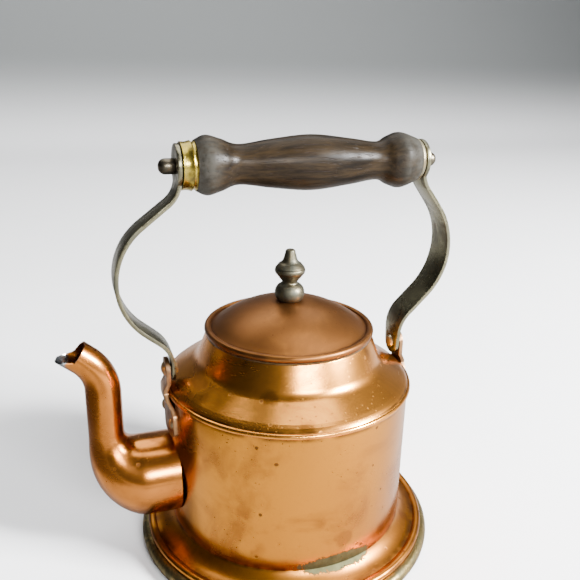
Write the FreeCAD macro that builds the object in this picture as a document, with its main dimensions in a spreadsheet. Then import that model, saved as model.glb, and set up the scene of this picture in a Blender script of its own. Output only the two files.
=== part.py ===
"""Copper kettle: spun copper vessel on a wired foot, swan-neck spout, lift-off lid and a swinging
bail with a turned wooden grip.

Frame: origin at the centre of the flat underside, +Z up, the spout towards -X, millimetres.
"""
import FreeCAD, Part
import math
import os

import Sketcher
from FreeCAD import Placement, Rotation, Vector

# Driving sizes: alias, value, meaning. Heights are above the ground unless the meaning says otherwise.
SIZES = [
    # vessel
    ("drum_radius", 55.5, "outside radius of the cylindrical drum"),
    ("sheet_gauge", 1.0, "thickness of the copper sheet"),
    ("seam_height", 80.0, "height of the seam between drum and shoulder"),
    ("drum_foot_height", 14.5, "height of the drum's lower edge"),
    ("lap_height", 4.0, "height of the soldered lap inside the drum's lower edge"),
    ("seam_bead", 1.2, "radius of the rolled bead at the seam"),
    # foot
    ("flare_width", 8.0, "how far the foot's flare reaches out from the drum, to its crease"),
    ("flare_curve", 12.0, "radius of the flare's hollow"),
    ("roll_radius", 1.7, "radius of the roll around the skirt's edge"),
    ("roll_reach", 10.0, "from the drum's outside to the middle of the skirt's roll"),
    ("base_bead_radius", 3.3, "radius of the base pan's wired edge"),
    ("base_bead_reach", 11.4, "from the drum's outside to the middle of the wired edge"),
    ("base_gauge", 1.2, "thickness of the base pan"),
    ("base_wire_radius", 2.1, "radius of the wire in the base pan's edge"),
    # shoulder and mouth
    ("neck_radius", 37.6, "outside radius of the neck at its top"),
    ("neck_rise", 21.6, "height of the neck's top above the seam"),
    ("neck_foot_radius", 42.3, "radius of the corner where the neck meets the shoulder"),
    ("neck_foot_rise", 9.6, "height of that corner above the seam"),
    ("neck_fillet", 7.0, "hollow between neck and shoulder, outside"),
    ("shoulder_break", 2.8, "from the drum's outside in to where the shoulder starts to round over"),
    ("shoulder_break_rise", 3.1, "height of that place above the seam"),
    ("shoulder_curve", 7.0, "radius of the shoulder's rounding"),
    ("mouth_ring_gauge", 0.8, "thickness of the ring that guides the lid"),
    ("mouth_ring_depth", 8.6, "depth of that ring below the neck's top"),
    # lid
    ("lid_seat_gap", 0.05, "gap between the lid's edge and its seat"),
    ("lid_collar_clearance", 0.3, "radial gap between the lid's collar and the mouth ring"),
    ("lid_collar_depth", 8.0, "depth of the lid's collar"),
    ("lid_bead_radius", 1.5, "radius of the lid's rolled edge"),
    ("lid_wire_radius", 0.8, "radius of the wire in the lid's rolled edge"),
    ("lid_radius", 38.4, "outside radius of the lid"),
    ("lid_rise", 12.7, "height of the lid's dome above the middle of its rolled edge"),
    ("lid_curve", 54.0, "radius of the lid's dome"),
    ("curl_slit", 0.3, "slit left where a sheet edge is curled round its wire"),
    # finial
    ("finial_height", 23.2, "height of the turned finial"),
    ("finial_bulb_radius", 7.0, "radius of the finial's upper bulb"),
    ("finial_foot_radius", 6.7, "radius of the finial's lower bulb"),
    ("stud_radius", 1.6, "radius of the finial's screwed stud"),
    ("stud_depth", 8.0, "length of stud inside the finial"),
    ("stud_hole_clearance", 0.5, "radial gap of the stud in the lid"),
    ("washer_radius", 5.0, "radius of the washer under the lid"),
    ("washer_gauge", 0.8, "thickness of the washer under the lid"),
    ("finial_nut_radius", 3.6, "corner radius of the hexagon nut under the lid"),
    ("finial_nut_height", 2.4, "height of the hexagon nut under the lid"),
    # spout
    ("spout_share", 0.48125, "height of the spout's root on the drum, as a share of the seam's height"),
    ("spout_root_radius", 17.35, "outside radius of the spout's root"),
    ("spout_riser_radius", 6.65, "outside radius of the spout's upright part"),
    ("spout_mouth_radius", 5.8, "outside radius of the spout at its mouth"),
    ("spout_wall", 0.9, "wall of the spout"),
    ("spout_root_length", 13.5, "straight length of the root outside the drum"),
    ("spout_elbow_radius", 7.8, "radius of the hollow inside the spout's lower elbow"),
    ("spout_riser_length", 19.5, "straight length between the two bends"),
    ("spout_lip_bend_radius", 20.0, "radius of the upper bend, on the centre line"),
    ("spout_lip_angle", 50.0, "how far the upper bend leans the mouth outwards, degrees"),
    ("spout_mouth_length", 4.0, "straight length from the upper bend to the mouth"),
    ("spout_lip_length", 5.6, "how far the pouring lip stands out beyond the mouth"),
    ("spout_seat", 2.35, "how much wider the spout's root is than the drum's hole behind it, in radius"),
    # ears
    ("pivot_rise", 9.8, "height of the bail's pivot above the seam"),
    ("ear_gauge", 1.8, "thickness of the ears"),
    ("ear_top_radius", 5.2, "radius of an ear's rounded top, around the pivot"),
    ("ear_half_width", 12.5, "half the width of an ear at its lower edge"),
    ("ear_share", 0.2375, "how far an ear reaches below the seam, as a share of the seam's height"),
    ("ear_corner", 3.0, "radius of an ear's lower corners"),
    ("ear_bead_gap", 0.2, "gap between an ear and the seam bead"),
    ("ear_set_in", 0.1, "how far an ear's inner face beside the strap lies inside the drum's radius"),
    ("ear_rivet_angle", 9.2, "angle of each ear rivet from the ear's middle, degrees"),
    ("rivet_share", 0.15625, "how far the ear rivets are below the seam, as a share of its height"),
    ("rivet_radius", 1.4, "shank radius of the ear rivets"),
    ("rivet_head_radius", 2.6, "head radius of the ear rivets"),
    ("rivet_head_height", 1.2, "head height of the ear rivets"),
    ("rivet_head_gap", 0.1, "gap between the rivets' flat inner heads and the drum's round inside"),
    ("pivot_radius", 2.1, "shank radius of the pivot rivets"),
    ("pivot_clearance", 0.06, "radial gap of a strap's eye on its pivot rivet"),
    ("pivot_head_radius", 3.4, "head radius of the pivot rivets"),
    ("pivot_head_height", 1.5, "head height of the pivot rivets"),
    # bail
    ("strap_gauge", 1.8, "thickness of the bail's straps"),
    ("strap_ear_gap", 0.9, "gap between a strap and its ear at the pivot"),
    ("strap_head_gap", 0.2, "gap between a strap and the inner head of its pivot rivet"),
    ("strap_foot_radius", 5.7, "radius of a strap's rounded lower end"),
    ("strap_half_width", 7.5, "half the width of a strap at its widest"),
    ("strap_neck_half_width", 6.0, "half the width of a strap below its upper eye"),
    ("strap_eye_radius", 9.0, "radius of a strap's upper eye"),
    ("strap_bulge", 20.0, "from the drum's outside to a strap's outermost point"),
    ("front_foot_length", 2.2, "straight length of the front strap above the pivot"),
    ("front_turn_out", 50.0, "how far the front strap first turns out, degrees"),
    ("front_turn_out_radius", 16.0, "radius of that first turn"),
    ("front_turn_in", 52.0, "how far the front strap leans in at the top of its bow, degrees"),
    ("front_turn_in_radius", 12.0, "radius of the turn up into the front strap's eye"),
    ("front_eye_straight", 5.204, "straight length of the front strap below its upper eye's middle"),
    ("rear_foot_length", 6.2, "straight length of the rear strap above the pivot"),
    ("rear_turn_out", 45.0, "how far the rear strap first turns out, degrees"),
    ("rear_turn_out_radius", 15.5, "radius of that first turn"),
    ("rear_turn_in", 37.0, "how far the rear strap leans in at the top of its bow, degrees"),
    ("rear_turn_in_radius", 13.4, "radius of the turn up into the rear strap's eye"),
    ("rear_eye_straight", 4.563, "straight length of the rear strap below its upper eye's middle"),
    # grip
    ("grip_rise", 97.5, "height of the grip's axis above the seam"),
    ("grip_front", -47.6, "where the grip starts, along X"),
    ("grip_rear", 57.0, "where the grip ends, along X"),
    ("grip_end_gap", 0.2, "gap between the grip and what holds each end"),
    ("grip_bulb_radius", 12.1, "radius of the bulb at each end of the grip"),
    ("grip_neck_radius", 8.25, "radius of the grip's two necks"),
    ("grip_belly_radius", 11.7, "radius of the grip's belly"),
    ("grip_end_radius", 9.7, "radius of the grip's rear end"),
    ("grip_bore_clearance", 0.08, "radial gap of the grip on its rod"),
    ("spigot_radius", 8.2, "radius of the grip's spigot in the ferrule"),
    ("ferrule_radius", 10.4, "outside radius of the brass ferrule"),
    ("ferrule_length", 6.0, "length of the brass ferrule"),
    ("rear_washer_gauge", 2.2, "thickness of the domed washer behind the grip"),
    ("rear_washer_radius", 9.5, "radius of the domed washer behind the grip"),
    ("rod_radius", 2.0, "radius of the rod through the grip"),
    ("cap_nut_radius", 3.2, "radius of the round cap nuts"),
    ("cap_nut_length", 6.6, "length of the round cap nuts"),
    ("cap_nut_thread", 4.6, "depth of rod inside each cap nut"),
]


def bow_formula(end, strap_top):
    """Formula for a strap's bow, which brings the strap upright below its upper eye."""
    half_out, half_in = f"tan({end}_turn_out / 2)", f"tan({end}_turn_in / 2)"
    rise = f"grip_rise - pivot_rise - {end}_foot_length - {end}_eye_straight"
    turns = f"{end}_turn_out_radius * {half_out} + {end}_turn_in_radius * {half_in}"
    lower = f"(strap_bulge + ear_set_in + strap_ear_gap + strap_gauge / 2) / tan({end}_turn_out)"
    upper = f"(drum_radius + strap_bulge - strap_gauge / 2 - ({strap_top})) / tan({end}_turn_in)"
    return f"=({rise} - ({turns}) - {lower} - {upper}) / ({half_out} + {half_in})"


# Sizes that follow from the driving ones: alias, formula, meaning.
DERIVED = [
    ("spout_height", "=seam_height * spout_share", "height of the spout's root on the drum"),
    ("drum_spout_hole", "=spout_root_radius - spout_seat", "radius of the drum's hole behind the spout"),
    ("ear_drop", "=seam_height * ear_share", "how far an ear reaches below the seam"),
    ("ear_rivet_drop", "=seam_height * rivet_share", "height of the ear rivets below the seam"),
    ("front_bow_radius", bow_formula("front", "grip_end_gap - grip_front"),
     "radius of the front strap's bow"),
    ("rear_bow_radius", bow_formula("rear", "grip_rear + grip_end_gap + rear_washer_gauge"),
     "radius of the rear strap's bow"),
]


class Size:
    """A number together with the spreadsheet expression that gives it."""

    def __init__(self, value, text):
        self.value = float(value)
        self.text = text

    def __add__(self, other):
        other = as_size(other)
        return Size(self.value + other.value, f"({self.text} + {other.text})")

    def __sub__(self, other):
        other = as_size(other)
        return Size(self.value - other.value, f"({self.text} - {other.text})")

    def __mul__(self, other):
        other = as_size(other)
        return Size(self.value * other.value, f"({self.text} * {other.text})")

    def __truediv__(self, other):
        other = as_size(other)
        return Size(self.value / other.value, f"({self.text} / {other.text})")

    def __neg__(self):
        return Size(-self.value, f"(-1 * {self.text})")

    def __radd__(self, other):
        return as_size(other) + self

    def __rsub__(self, other):
        return as_size(other) - self

    def __rmul__(self, other):
        return as_size(other) * self


def as_size(number):
    """Gives a plain number the form of a Size."""
    return number if isinstance(number, Size) else Size(number, repr(float(number)))


def sine(angle):
    """Sine of an angle in degrees, as a Size."""
    return Size(math.sin(math.radians(angle.value)), f"sin({angle.text})")


def cosine(angle):
    """Cosine of an angle in degrees, as a Size."""
    return Size(math.cos(math.radians(angle.value)), f"cos({angle.text})")


def bind(obj, **sizes):
    """Binds an object's properties to the sheet; a double underscore stands for a dot."""
    for name, size in sizes.items():
        obj.setExpression(name.replace("__", "."), as_size(size).text)
    return obj


class Dimensions:
    """The sheet's cells, each as an attribute that is a Size."""

    def __init__(self, document):
        sheet = document.addObject("Spreadsheet::Sheet", "Sizes")
        for row, (alias, value, meaning) in enumerate(SIZES + DERIVED, start=1):
            sheet.set(f"A{row}", alias)
            sheet.set(f"B{row}", str(value))
            sheet.set(f"C{row}", meaning)
            sheet.setAlias(f"B{row}", alias)
        document.recompute()
        for alias, _, _ in SIZES + DERIVED:
            setattr(self, alias, Size(getattr(sheet, alias), f"Sizes.{alias}"))


class Outline:
    """A chain of lines and arcs in a body's sketch, with every corner pinned to the sheet."""

    def __init__(self, body, plane, name):
        self.sketch = body.newObject("Sketcher::SketchObject", name)
        origin_plane = next(f for f in body.Origin.OriginFeatures if f.Role == plane)
        self.sketch.AttachmentSupport = [(origin_plane, "")]
        self.sketch.MapMode = "FlatFace"
        self.edges = []
        self.corner = None

    def start(self, across, up):
        self.home = self.corner = (as_size(across), as_size(up))
        return self

    def line(self, across, up):
        """A straight edge to the next corner."""
        end = (as_size(across), as_size(up))
        edge = Part.LineSegment(self.point(self.corner), self.point(end))
        self.add(edge, 1, 2, end)
        return self

    def arc(self, across, up, radius, left=True, large=False):
        """An arc to the next corner, turning left or right on its way."""
        end = (as_size(across), as_size(up))
        radius = as_size(radius)
        first, last = self.point(self.corner), self.point(end)
        chord = last - first
        height = math.sqrt(max(radius.value ** 2 - (chord.Length / 2) ** 2, 0.0))
        side = Vector(-chord.y, chord.x, 0).normalize()
        inwards = 1 if left != large else -1
        centre = (first + last) * 0.5 + side * (height * inwards)
        turn_from, turn_to = (first, last) if left else (last, first)
        angles = [math.atan2(p.y - centre.y, p.x - centre.x) for p in (turn_from, turn_to)]
        circle = Part.Circle(centre, Vector(0, 0, 1), radius.value)
        begin, finish = (1, 2) if left else (2, 1)
        edge = self.add(Part.ArcOfCircle(circle, *angles), begin, finish, end)
        self.drive("Radius", radius, edge)
        return self

    def close(self):
        """Returns to the first corner and joins the chain's ends."""
        if (self.point(self.corner) - self.point(self.home)).Length > 1e-6:
            self.line(*self.home)
        self.end(join=True)
        return self.sketch

    def leave_open(self):
        """Ends an open path."""
        self.end(join=False)
        return self.sketch

    @staticmethod
    def point(corner):
        return Vector(corner[0].value, corner[1].value, 0)

    def add(self, geometry, begin, finish, end):
        edge = self.sketch.addGeometry(geometry)
        if self.edges:
            previous, _, previous_finish, _ = self.edges[-1]
            joint = Sketcher.Constraint("Coincident", previous, previous_finish, edge, begin)
            self.sketch.addConstraint(joint)
        self.edges.append((edge, begin, finish, end))
        self.corner = end
        return edge

    def end(self, join):
        first_edge, first_begin, _, _ = self.edges[0]
        self.pin(first_edge, first_begin, self.home)
        if join:
            last_edge, _, last_finish, _ = self.edges.pop()
            joint = Sketcher.Constraint("Coincident", last_edge, last_finish, first_edge, first_begin)
            self.sketch.addConstraint(joint)
        for edge, _, finish, corner in self.edges:
            self.pin(edge, finish, corner)

    def pin(self, edge, position, corner):
        """Ties a corner to its two sheet sizes, or to an axis where a size is nought."""
        across, up = corner
        for kind, size, axis in (("DistanceX", across, -2), ("DistanceY", up, -1)):
            if abs(size.value) < 1e-9:
                self.sketch.addConstraint(Sketcher.Constraint("PointOnObject", edge, position, axis))
            else:
                self.drive(kind, size, -1, 1, edge, position)

    def drive(self, kind, size, *where):
        index = self.sketch.addConstraint(Sketcher.Constraint(kind, *where, size.value))
        self.sketch.setExpression(f"Constraints[{index}]", size.text)


def new_body(document, name):
    """An empty body labelled with its node's name."""
    body = document.addObject("PartDesign::Body", name)
    body.Label = name
    return body


def revolve(body, sketch, axis="V_Axis", angle=360.0, centred=False):
    """Turns a closed sketch about one of its own axes."""
    feature = body.newObject("PartDesign::Revolution", f"{body.Name}_turning")
    feature.Profile = sketch
    feature.ReferenceAxis = (sketch, [axis])
    feature.Angle = angle
    feature.Midplane = centred
    body.Document.recompute()
    return feature


def groove(body, sketch, axis="V_Axis"):
    """Turns a groove out of a body and makes sure that it cut something."""
    before = body.Shape.Volume
    feature = body.newObject("PartDesign::Groove", f"{body.Name}_groove")
    feature.Profile = sketch
    feature.ReferenceAxis = (sketch, [axis])
    feature.Angle = 360.0
    body.Document.recompute()
    if body.Shape.Volume >= before:
        raise RuntimeError(f"the groove in {body.Label} cut nothing")
    return feature


def pad(body, sketch, length):
    """Pads a sketch by a length, half to each side."""
    feature = body.newObject("PartDesign::Pad", f"{body.Name}_pad")
    feature.Profile = sketch
    feature.Midplane = True
    bind(feature, Length=length)
    body.Document.recompute()
    return feature


def fillet(body, feature, rings, radius):
    """Fillets the circular edges found at the given (radius, height) places."""
    names = []
    for number, edge in enumerate(feature.Shape.Edges, start=1):
        curve = edge.Curve
        if not isinstance(curve, Part.Circle):
            continue
        for ring_radius, ring_height in rings:
            same_radius = abs(curve.Radius - ring_radius.value) < 1e-3
            if same_radius and abs(curve.Center.z - ring_height.value) < 1e-3:
                names.append(f"Edge{number}")
    if not names:
        raise RuntimeError(f"no edge to fillet in {body.Label}")
    rounding = body.newObject("PartDesign::Fillet", f"{body.Name}_fillet")
    rounding.Base = (feature, names)
    bind(rounding, Radius=radius)
    body.Document.recompute()
    return rounding


def solid_difference(document, name, base, tools):
    """Cuts one or more tools out of a base."""
    tool = tools[0]
    if len(tools) > 1:
        tool = document.addObject("Part::MultiFuse", f"{name}_cutters")
        tool.Shapes = tools
    cut = document.addObject("Part::Cut", name)
    cut.Base = base
    cut.Tool = tool
    base.Label = f"{name}_blank"
    cut.Label = name
    return cut


def radial_placement(angle, height):
    """Places a piece modelled along +Z so that it points outwards from the kettle's axis."""
    upright_to_radial = Rotation(Vector(0, 1, 0), 90)
    return Placement(Vector(0, 0, height), Rotation(Vector(0, 0, 1), angle) * upright_to_radial)


def radial_hole(document, name, radius, angle, height, depth_from, length):
    """A cylinder that drills outwards through the vessel's wall."""
    drill = document.addObject("Part::Cylinder", name)
    bind(drill, Radius=radius, Height=length)
    drill.Placement = radial_placement(angle, height.value)
    outwards = drill.Placement.Rotation.multVec(Vector(0, 0, 1))
    drill.Placement.Base = drill.Placement.Base + outwards * depth_from.value
    return drill


FRONT, REAR = 180.0, 0.0


def rivet_angles(dim, side):
    """The two directions in which the rivets of one ear point."""
    return [side - dim.ear_rivet_angle.value, side + dim.ear_rivet_angle.value]


def rivet_height(dim):
    """Height of the ear rivets."""
    return dim.seam_height - dim.ear_rivet_drop


# ---------------------------------------------------------------- vessel

def drum(document, dim):
    """The cylindrical wall, with the spout's hole and the rivet holes."""
    body = new_body(document, "body_drum")
    inner = dim.drum_radius - dim.sheet_gauge
    top = drum_top(dim)
    outline = Outline(body, "XZ_Plane", "drum_section")
    outline.start(inner, dim.drum_foot_height).line(dim.drum_radius, dim.drum_foot_height)
    outline.line(dim.drum_radius, top).line(inner, top)
    revolve(body, outline.close())
    holes = [radial_hole(document, "spout_hole", dim.drum_spout_hole, FRONT, dim.spout_height,
                         dim.drum_radius * 0.5, dim.drum_radius)]
    for side in (FRONT, REAR):
        for angle in rivet_angles(dim, side):
            holes.append(radial_hole(document, "rivet_hole", dim.rivet_radius, angle,
                                     rivet_height(dim), dim.drum_radius * 0.8, dim.drum_radius))
    return solid_difference(document, "body_drum", body, holes)


def drum_top(dim):
    """Height of the drum's upper edge, inside the seam bead."""
    return dim.seam_height - dim.seam_bead / 3


def flare_crease(dim):
    """Radius and height of the crease at the flare's outer end."""
    return dim.drum_radius + dim.flare_width, roll_height(dim) + dim.roll_radius * 0.6


def roll_height(dim):
    """Height of the skirt's roll, resting on the base pan's wired edge."""
    return dim.base_bead_radius * 2 + dim.roll_radius - 0.15


def foot_skirt(document, dim):
    """The spun flare between drum and base, with its rolled edge and the leg inside the base."""
    body = new_body(document, "foot_skirt")
    gauge = dim.sheet_gauge
    crease_radius, crease_height = flare_crease(dim)
    roll_middle = dim.drum_radius + dim.roll_reach
    roll_up = roll_height(dim)
    leg_outer = dim.drum_radius + dim.base_bead_reach - dim.base_bead_radius
    leg_inner = leg_outer - gauge
    lap_outer = dim.drum_radius - gauge
    lap_top = dim.drum_foot_height + dim.lap_height
    outline = Outline(body, "XZ_Plane", "skirt_section")
    outline.start(dim.drum_radius, dim.drum_foot_height)
    outline.arc(crease_radius, crease_height, dim.flare_curve, left=True)
    outline.arc(roll_middle, roll_up + dim.roll_radius, dim.roll_radius * 1.6, left=False)
    outline.arc(roll_middle + dim.roll_radius, roll_up, dim.roll_radius, left=False)
    outline.arc(roll_middle, roll_up - dim.roll_radius, dim.roll_radius, left=False)
    outline.line(leg_outer, roll_up - dim.roll_radius)
    outline.line(leg_outer, dim.base_gauge).line(leg_inner, dim.base_gauge)
    outline.line(leg_inner, crease_height - gauge)
    outline.arc(lap_outer - gauge * 0.5, dim.drum_foot_height - gauge, dim.flare_curve, left=False)
    outline.line(lap_outer - gauge * 0.5, lap_top).line(lap_outer, lap_top)
    outline.line(lap_outer, dim.drum_foot_height)
    revolve(body, outline.close())
    return body


def curl_groove(body, name, wire_middle, wire_height, wire_radius, slit, depth, down=True):
    """A keyhole groove: a round room for the wire and the slit where the curled sheet ends."""
    half = slit / 2
    rise = math.sqrt(wire_radius.value ** 2 - half.value ** 2) / wire_radius.value
    sign = -1 if down else 1
    mouth = wire_height + wire_radius * (sign * rise)
    outline = Outline(body, "XZ_Plane", name)
    outline.start(wire_middle - half, wire_height + depth * sign)
    outline.line(wire_middle - half, mouth)
    outline.arc(wire_middle + half, mouth, wire_radius, left=not down, large=True)
    outline.line(wire_middle + half, wire_height + depth * sign)
    return groove(body, outline.close())


def base_pan(document, dim):
    """The flat bottom, its edge rolled up round a wire."""
    body = new_body(document, "base_pan")
    bead = dim.base_bead_radius
    middle = dim.drum_radius + dim.base_bead_reach
    outline = Outline(body, "XZ_Plane", "pan_section")
    outline.start(0, 0).line(middle, 0)
    outline.arc(middle + bead, bead, bead, left=True)
    outline.arc(middle, bead * 2, bead, left=True)
    outline.arc(middle - bead, bead, bead, left=True)
    outline.line(middle - bead, dim.base_gauge).line(0, dim.base_gauge)
    revolve(body, outline.close())
    curl_groove(body, "base_wire_room", middle, bead, dim.base_wire_radius, dim.curl_slit,
                bead * 1.2, down=False)
    return body


def wire_ring(document, name, ring_radius, wire_radius, height):
    """A ring of round wire."""
    ring = document.addObject("Part::Torus", name)
    bind(ring, Radius1=ring_radius, Radius2=wire_radius, Placement__Base__z=height)
    return ring


def shoulder(document, dim):
    """The spun shoulder and neck, its lower edge rolled over the drum's top."""
    body = new_body(document, "shoulder")
    seam, gauge, bead = dim.seam_height, dim.sheet_gauge, dim.seam_bead
    lean = gauge * 0.75
    neck_top = seam + dim.neck_rise
    neck_foot = seam + dim.neck_foot_rise
    bead_top = seam + bead * 0.5
    slope_end = dim.drum_radius - dim.shoulder_break
    slope_up = seam + dim.shoulder_break_rise
    outline = Outline(body, "XZ_Plane", "shoulder_section")
    outline.start(dim.neck_radius, neck_top).line(dim.neck_foot_radius, neck_foot)
    outline.line(slope_end, slope_up)
    outline.arc(dim.drum_radius, bead_top, dim.shoulder_curve, left=False)
    outline.arc(dim.drum_radius + bead, bead_top - bead, bead, left=False)
    outline.arc(dim.drum_radius, bead_top - bead * 2, bead, left=False)
    outline.line(dim.drum_radius, drum_top(dim)).line(dim.drum_radius - gauge, drum_top(dim))
    outline.arc(slope_end - gauge, slope_up - lean, dim.shoulder_curve, left=True)
    outline.line(dim.neck_foot_radius - gauge, neck_foot - lean)
    outline.line(dim.neck_radius - gauge, neck_top - lean).line(dim.neck_radius - gauge, neck_top)
    turned = revolve(body, outline.close())
    outside = fillet(body, turned, [(dim.neck_foot_radius, neck_foot)], dim.neck_fillet)
    inner_ring = (dim.neck_foot_radius - gauge, neck_foot - lean)
    fillet(body, outside, [inner_ring], dim.neck_fillet + gauge)
    return body


def lid_seat(dim):
    """Height of the mouth ring's upper face, on which the lid rests."""
    return dim.seam_height + dim.neck_rise + dim.mouth_ring_gauge


def mouth_ring(document, dim):
    """The ring soldered into the neck: it guides the lid's collar and carries the lid."""
    body = new_body(document, "mouth_ring")
    outer = dim.neck_radius - dim.sheet_gauge
    inner = outer - dim.mouth_ring_gauge
    neck_top = dim.seam_height + dim.neck_rise
    bottom = neck_top - dim.mouth_ring_depth
    outline = Outline(body, "XZ_Plane", "ring_section")
    outline.start(inner, bottom).line(outer, bottom).line(outer, neck_top)
    outline.line(dim.neck_radius, neck_top).line(dim.neck_radius, lid_seat(dim))
    outline.line(inner, lid_seat(dim))
    revolve(body, outline.close())
    return body


# ---------------------------------------------------------------- spout

def spout_stations(dim):
    """Places along the spout: x, z, heading in degrees above -X, and outside radius.

    The sections of the lower elbow all turn about the centre of the hollow inside it, so the tube
    narrows quickly round its outside, as a hammered spout does.
    """
    value = {alias: getattr(dim, alias).value for alias, _, _ in SIZES + DERIVED}
    root, riser, mouth = (value[f"spout_{part}_radius"] for part in ("root", "riser", "mouth"))
    elbow, lip_bend = value["spout_elbow_radius"], value["spout_lip_bend_radius"]
    elbow_x = -value["drum_radius"] - value["spout_root_length"]
    elbow_z = value["spout_height"] + root + elbow
    stations = [(elbow_x * share, value["spout_height"], 0.0, root)
                for share in (0.65, 0.7, 0.75, 0.8, 0.85, 0.9, 0.95)]
    for angle in range(0, 91, 6):
        turn = math.radians(angle)
        radius = riser + (root - riser) * (1 - math.sin(turn) ** 1.3)
        reach = elbow + radius
        stations.append((elbow_x - reach * math.sin(turn), elbow_z - reach * math.cos(turn),
                         float(angle), radius))
    riser_x = elbow_x - elbow - riser
    riser_top = elbow_z + value["spout_riser_length"]
    for share in (0.17, 0.33, 0.5, 0.67, 0.83, 1.0):
        rise = value["spout_riser_length"] * share
        stations.append((riser_x, elbow_z + rise, 90.0, riser))
    steps = 6
    for step in range(1, steps + 1):
        turn = math.radians(value["spout_lip_angle"] * step / steps)
        narrowed = riser + (mouth - riser) * step / steps
        stations.append((riser_x - lip_bend * (1 - math.cos(turn)),
                         riser_top + lip_bend * math.sin(turn), 90.0 - math.degrees(turn), narrowed))
    mouth_x, mouth_z, heading, _ = stations[-1]
    reach = value["spout_mouth_length"] + value["spout_lip_length"] * 2
    for share in (0.2, 0.4, 0.6, 0.8, 1.0):
        stations.append((mouth_x - reach * share * math.cos(math.radians(heading)),
                         mouth_z + reach * share * math.sin(math.radians(heading)), heading, mouth))
    return stations


def longer_end(station, length):
    """Moves a station along the spout's heading."""
    x, z, heading, radius = station
    turn = math.radians(heading)
    return x - length * math.cos(turn), z + length * math.sin(turn), heading, radius


def spout_tube(document, name, dim, inset, overrun=0.0):
    """A solid whose skin runs smoothly through circles standing square to the centre line."""
    around = 24
    rows = []
    stations = spout_stations(dim)
    for x, z, heading, radius in [longer_end(stations[0], -overrun)] + stations[1:-1] + [
            longer_end(stations[-1], overrun)]:
        inwards = Vector(math.sin(math.radians(heading)), 0, math.cos(math.radians(heading)))
        row = []
        for step in range(around + 1):
            turn = math.tau * (step % around) / around
            offset = inwards * math.cos(turn) + Vector(0, math.sin(turn), 0)
            row.append(Vector(x, 0, z) + offset * (radius - inset.value))
        rows.append(row)
    surface = Part.BSplineSurface()
    surface.interpolate(rows)
    surface.setVPeriodic()
    skin = Part.Face(surface)
    ends = []
    for edge in skin.Edges:
        if edge.isClosed() and edge.CenterOfMass.y ** 2 < 1e-3:
            ends.append(Part.Face(Part.Wire([edge])))
    shell = Part.makeShell([skin] + ends)
    shell.sewShape()
    tube = document.addObject("Part::Feature", name)
    tube.Shape = Part.Solid(shell)
    return tube


def mouth_cutter(document, dim):
    """What is cut off the tube's end: square across the top, leaving a pouring lip below."""
    body = new_body(document, "spout_mouth_cutter")
    radius = dim.spout_mouth_radius
    beyond = dim.spout_lip_length * 4
    outline = Outline(body, "XZ_Plane", "mouth_cut")
    outline.start(0, radius * 2).line(0, radius * -0.1)
    outline.arc(dim.spout_lip_length, radius * -0.86, radius * 1.6, left=True)
    outline.line(dim.spout_lip_length, radius * -1.4)
    outline.line(beyond, radius * -1.4).line(beyond, radius * 2)
    pad(body, outline.close(), radius * 4)
    mouth_x, mouth_z, heading, _ = spout_stations(dim)[-6]
    along = Vector(-math.cos(math.radians(heading)), 0, math.sin(math.radians(heading)))
    place = Vector(mouth_x, 0, mouth_z) + along * dim.spout_mouth_length.value
    flip = Rotation(Vector(0, 0, 1), 180)
    body.Placement = Placement(place, Rotation(Vector(0, 1, 0), heading) * flip)
    return body


def spout(document, dim):
    """The swan-neck spout, saddled on the drum."""
    outside = spout_tube(document, "spout_outside", dim, as_size(0.0))
    bore = spout_tube(document, "spout_bore", dim, dim.spout_wall, overrun=2.0)
    saddle = document.addObject("Part::Cylinder", "spout_saddle")
    bind(saddle, Radius=dim.drum_radius, Height=dim.seam_height)
    return solid_difference(document, "spout", outside, [bore, saddle, mouth_cutter(document, dim)])


# ---------------------------------------------------------------- ears and rivets

def pivot_height(dim):
    """Height of the bail's pivot."""
    return dim.seam_height + dim.pivot_rise


def ear_inner_radius(dim):
    """Radius of an ear's inner face beside the strap."""
    return dim.drum_radius - dim.ear_set_in


def ear_sheet(document, name, dim):
    """A curved sheet that lies on the drum, steps out over the seam bead and in again above it."""
    body = new_body(document, name)
    gauge = dim.ear_gauge
    low = dim.seam_height - dim.ear_drop - gauge
    high = pivot_height(dim) + dim.ear_top_radius + gauge
    on_drum = dim.drum_radius
    over_bead = dim.drum_radius + dim.seam_bead + dim.ear_bead_gap
    above = ear_inner_radius(dim)
    below_step = dim.seam_height - dim.seam_bead * 5
    bead_low = dim.seam_height - dim.seam_bead * 2
    bead_high = dim.seam_height + dim.seam_bead
    above_step = dim.seam_height + dim.seam_bead * 3.5
    outline = Outline(body, "XZ_Plane", f"{name}_section")
    outline.start(on_drum, low).line(on_drum + gauge, low).line(on_drum + gauge, below_step)
    outline.line(over_bead + gauge, bead_low).line(over_bead + gauge, bead_high)
    outline.line(above + gauge, above_step).line(above + gauge, high).line(above, high)
    outline.line(above, above_step).line(over_bead, bead_high).line(over_bead, bead_low)
    outline.line(on_drum, below_step)
    revolve(body, outline.close(), angle=60.0, centred=True)
    return body


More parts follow.
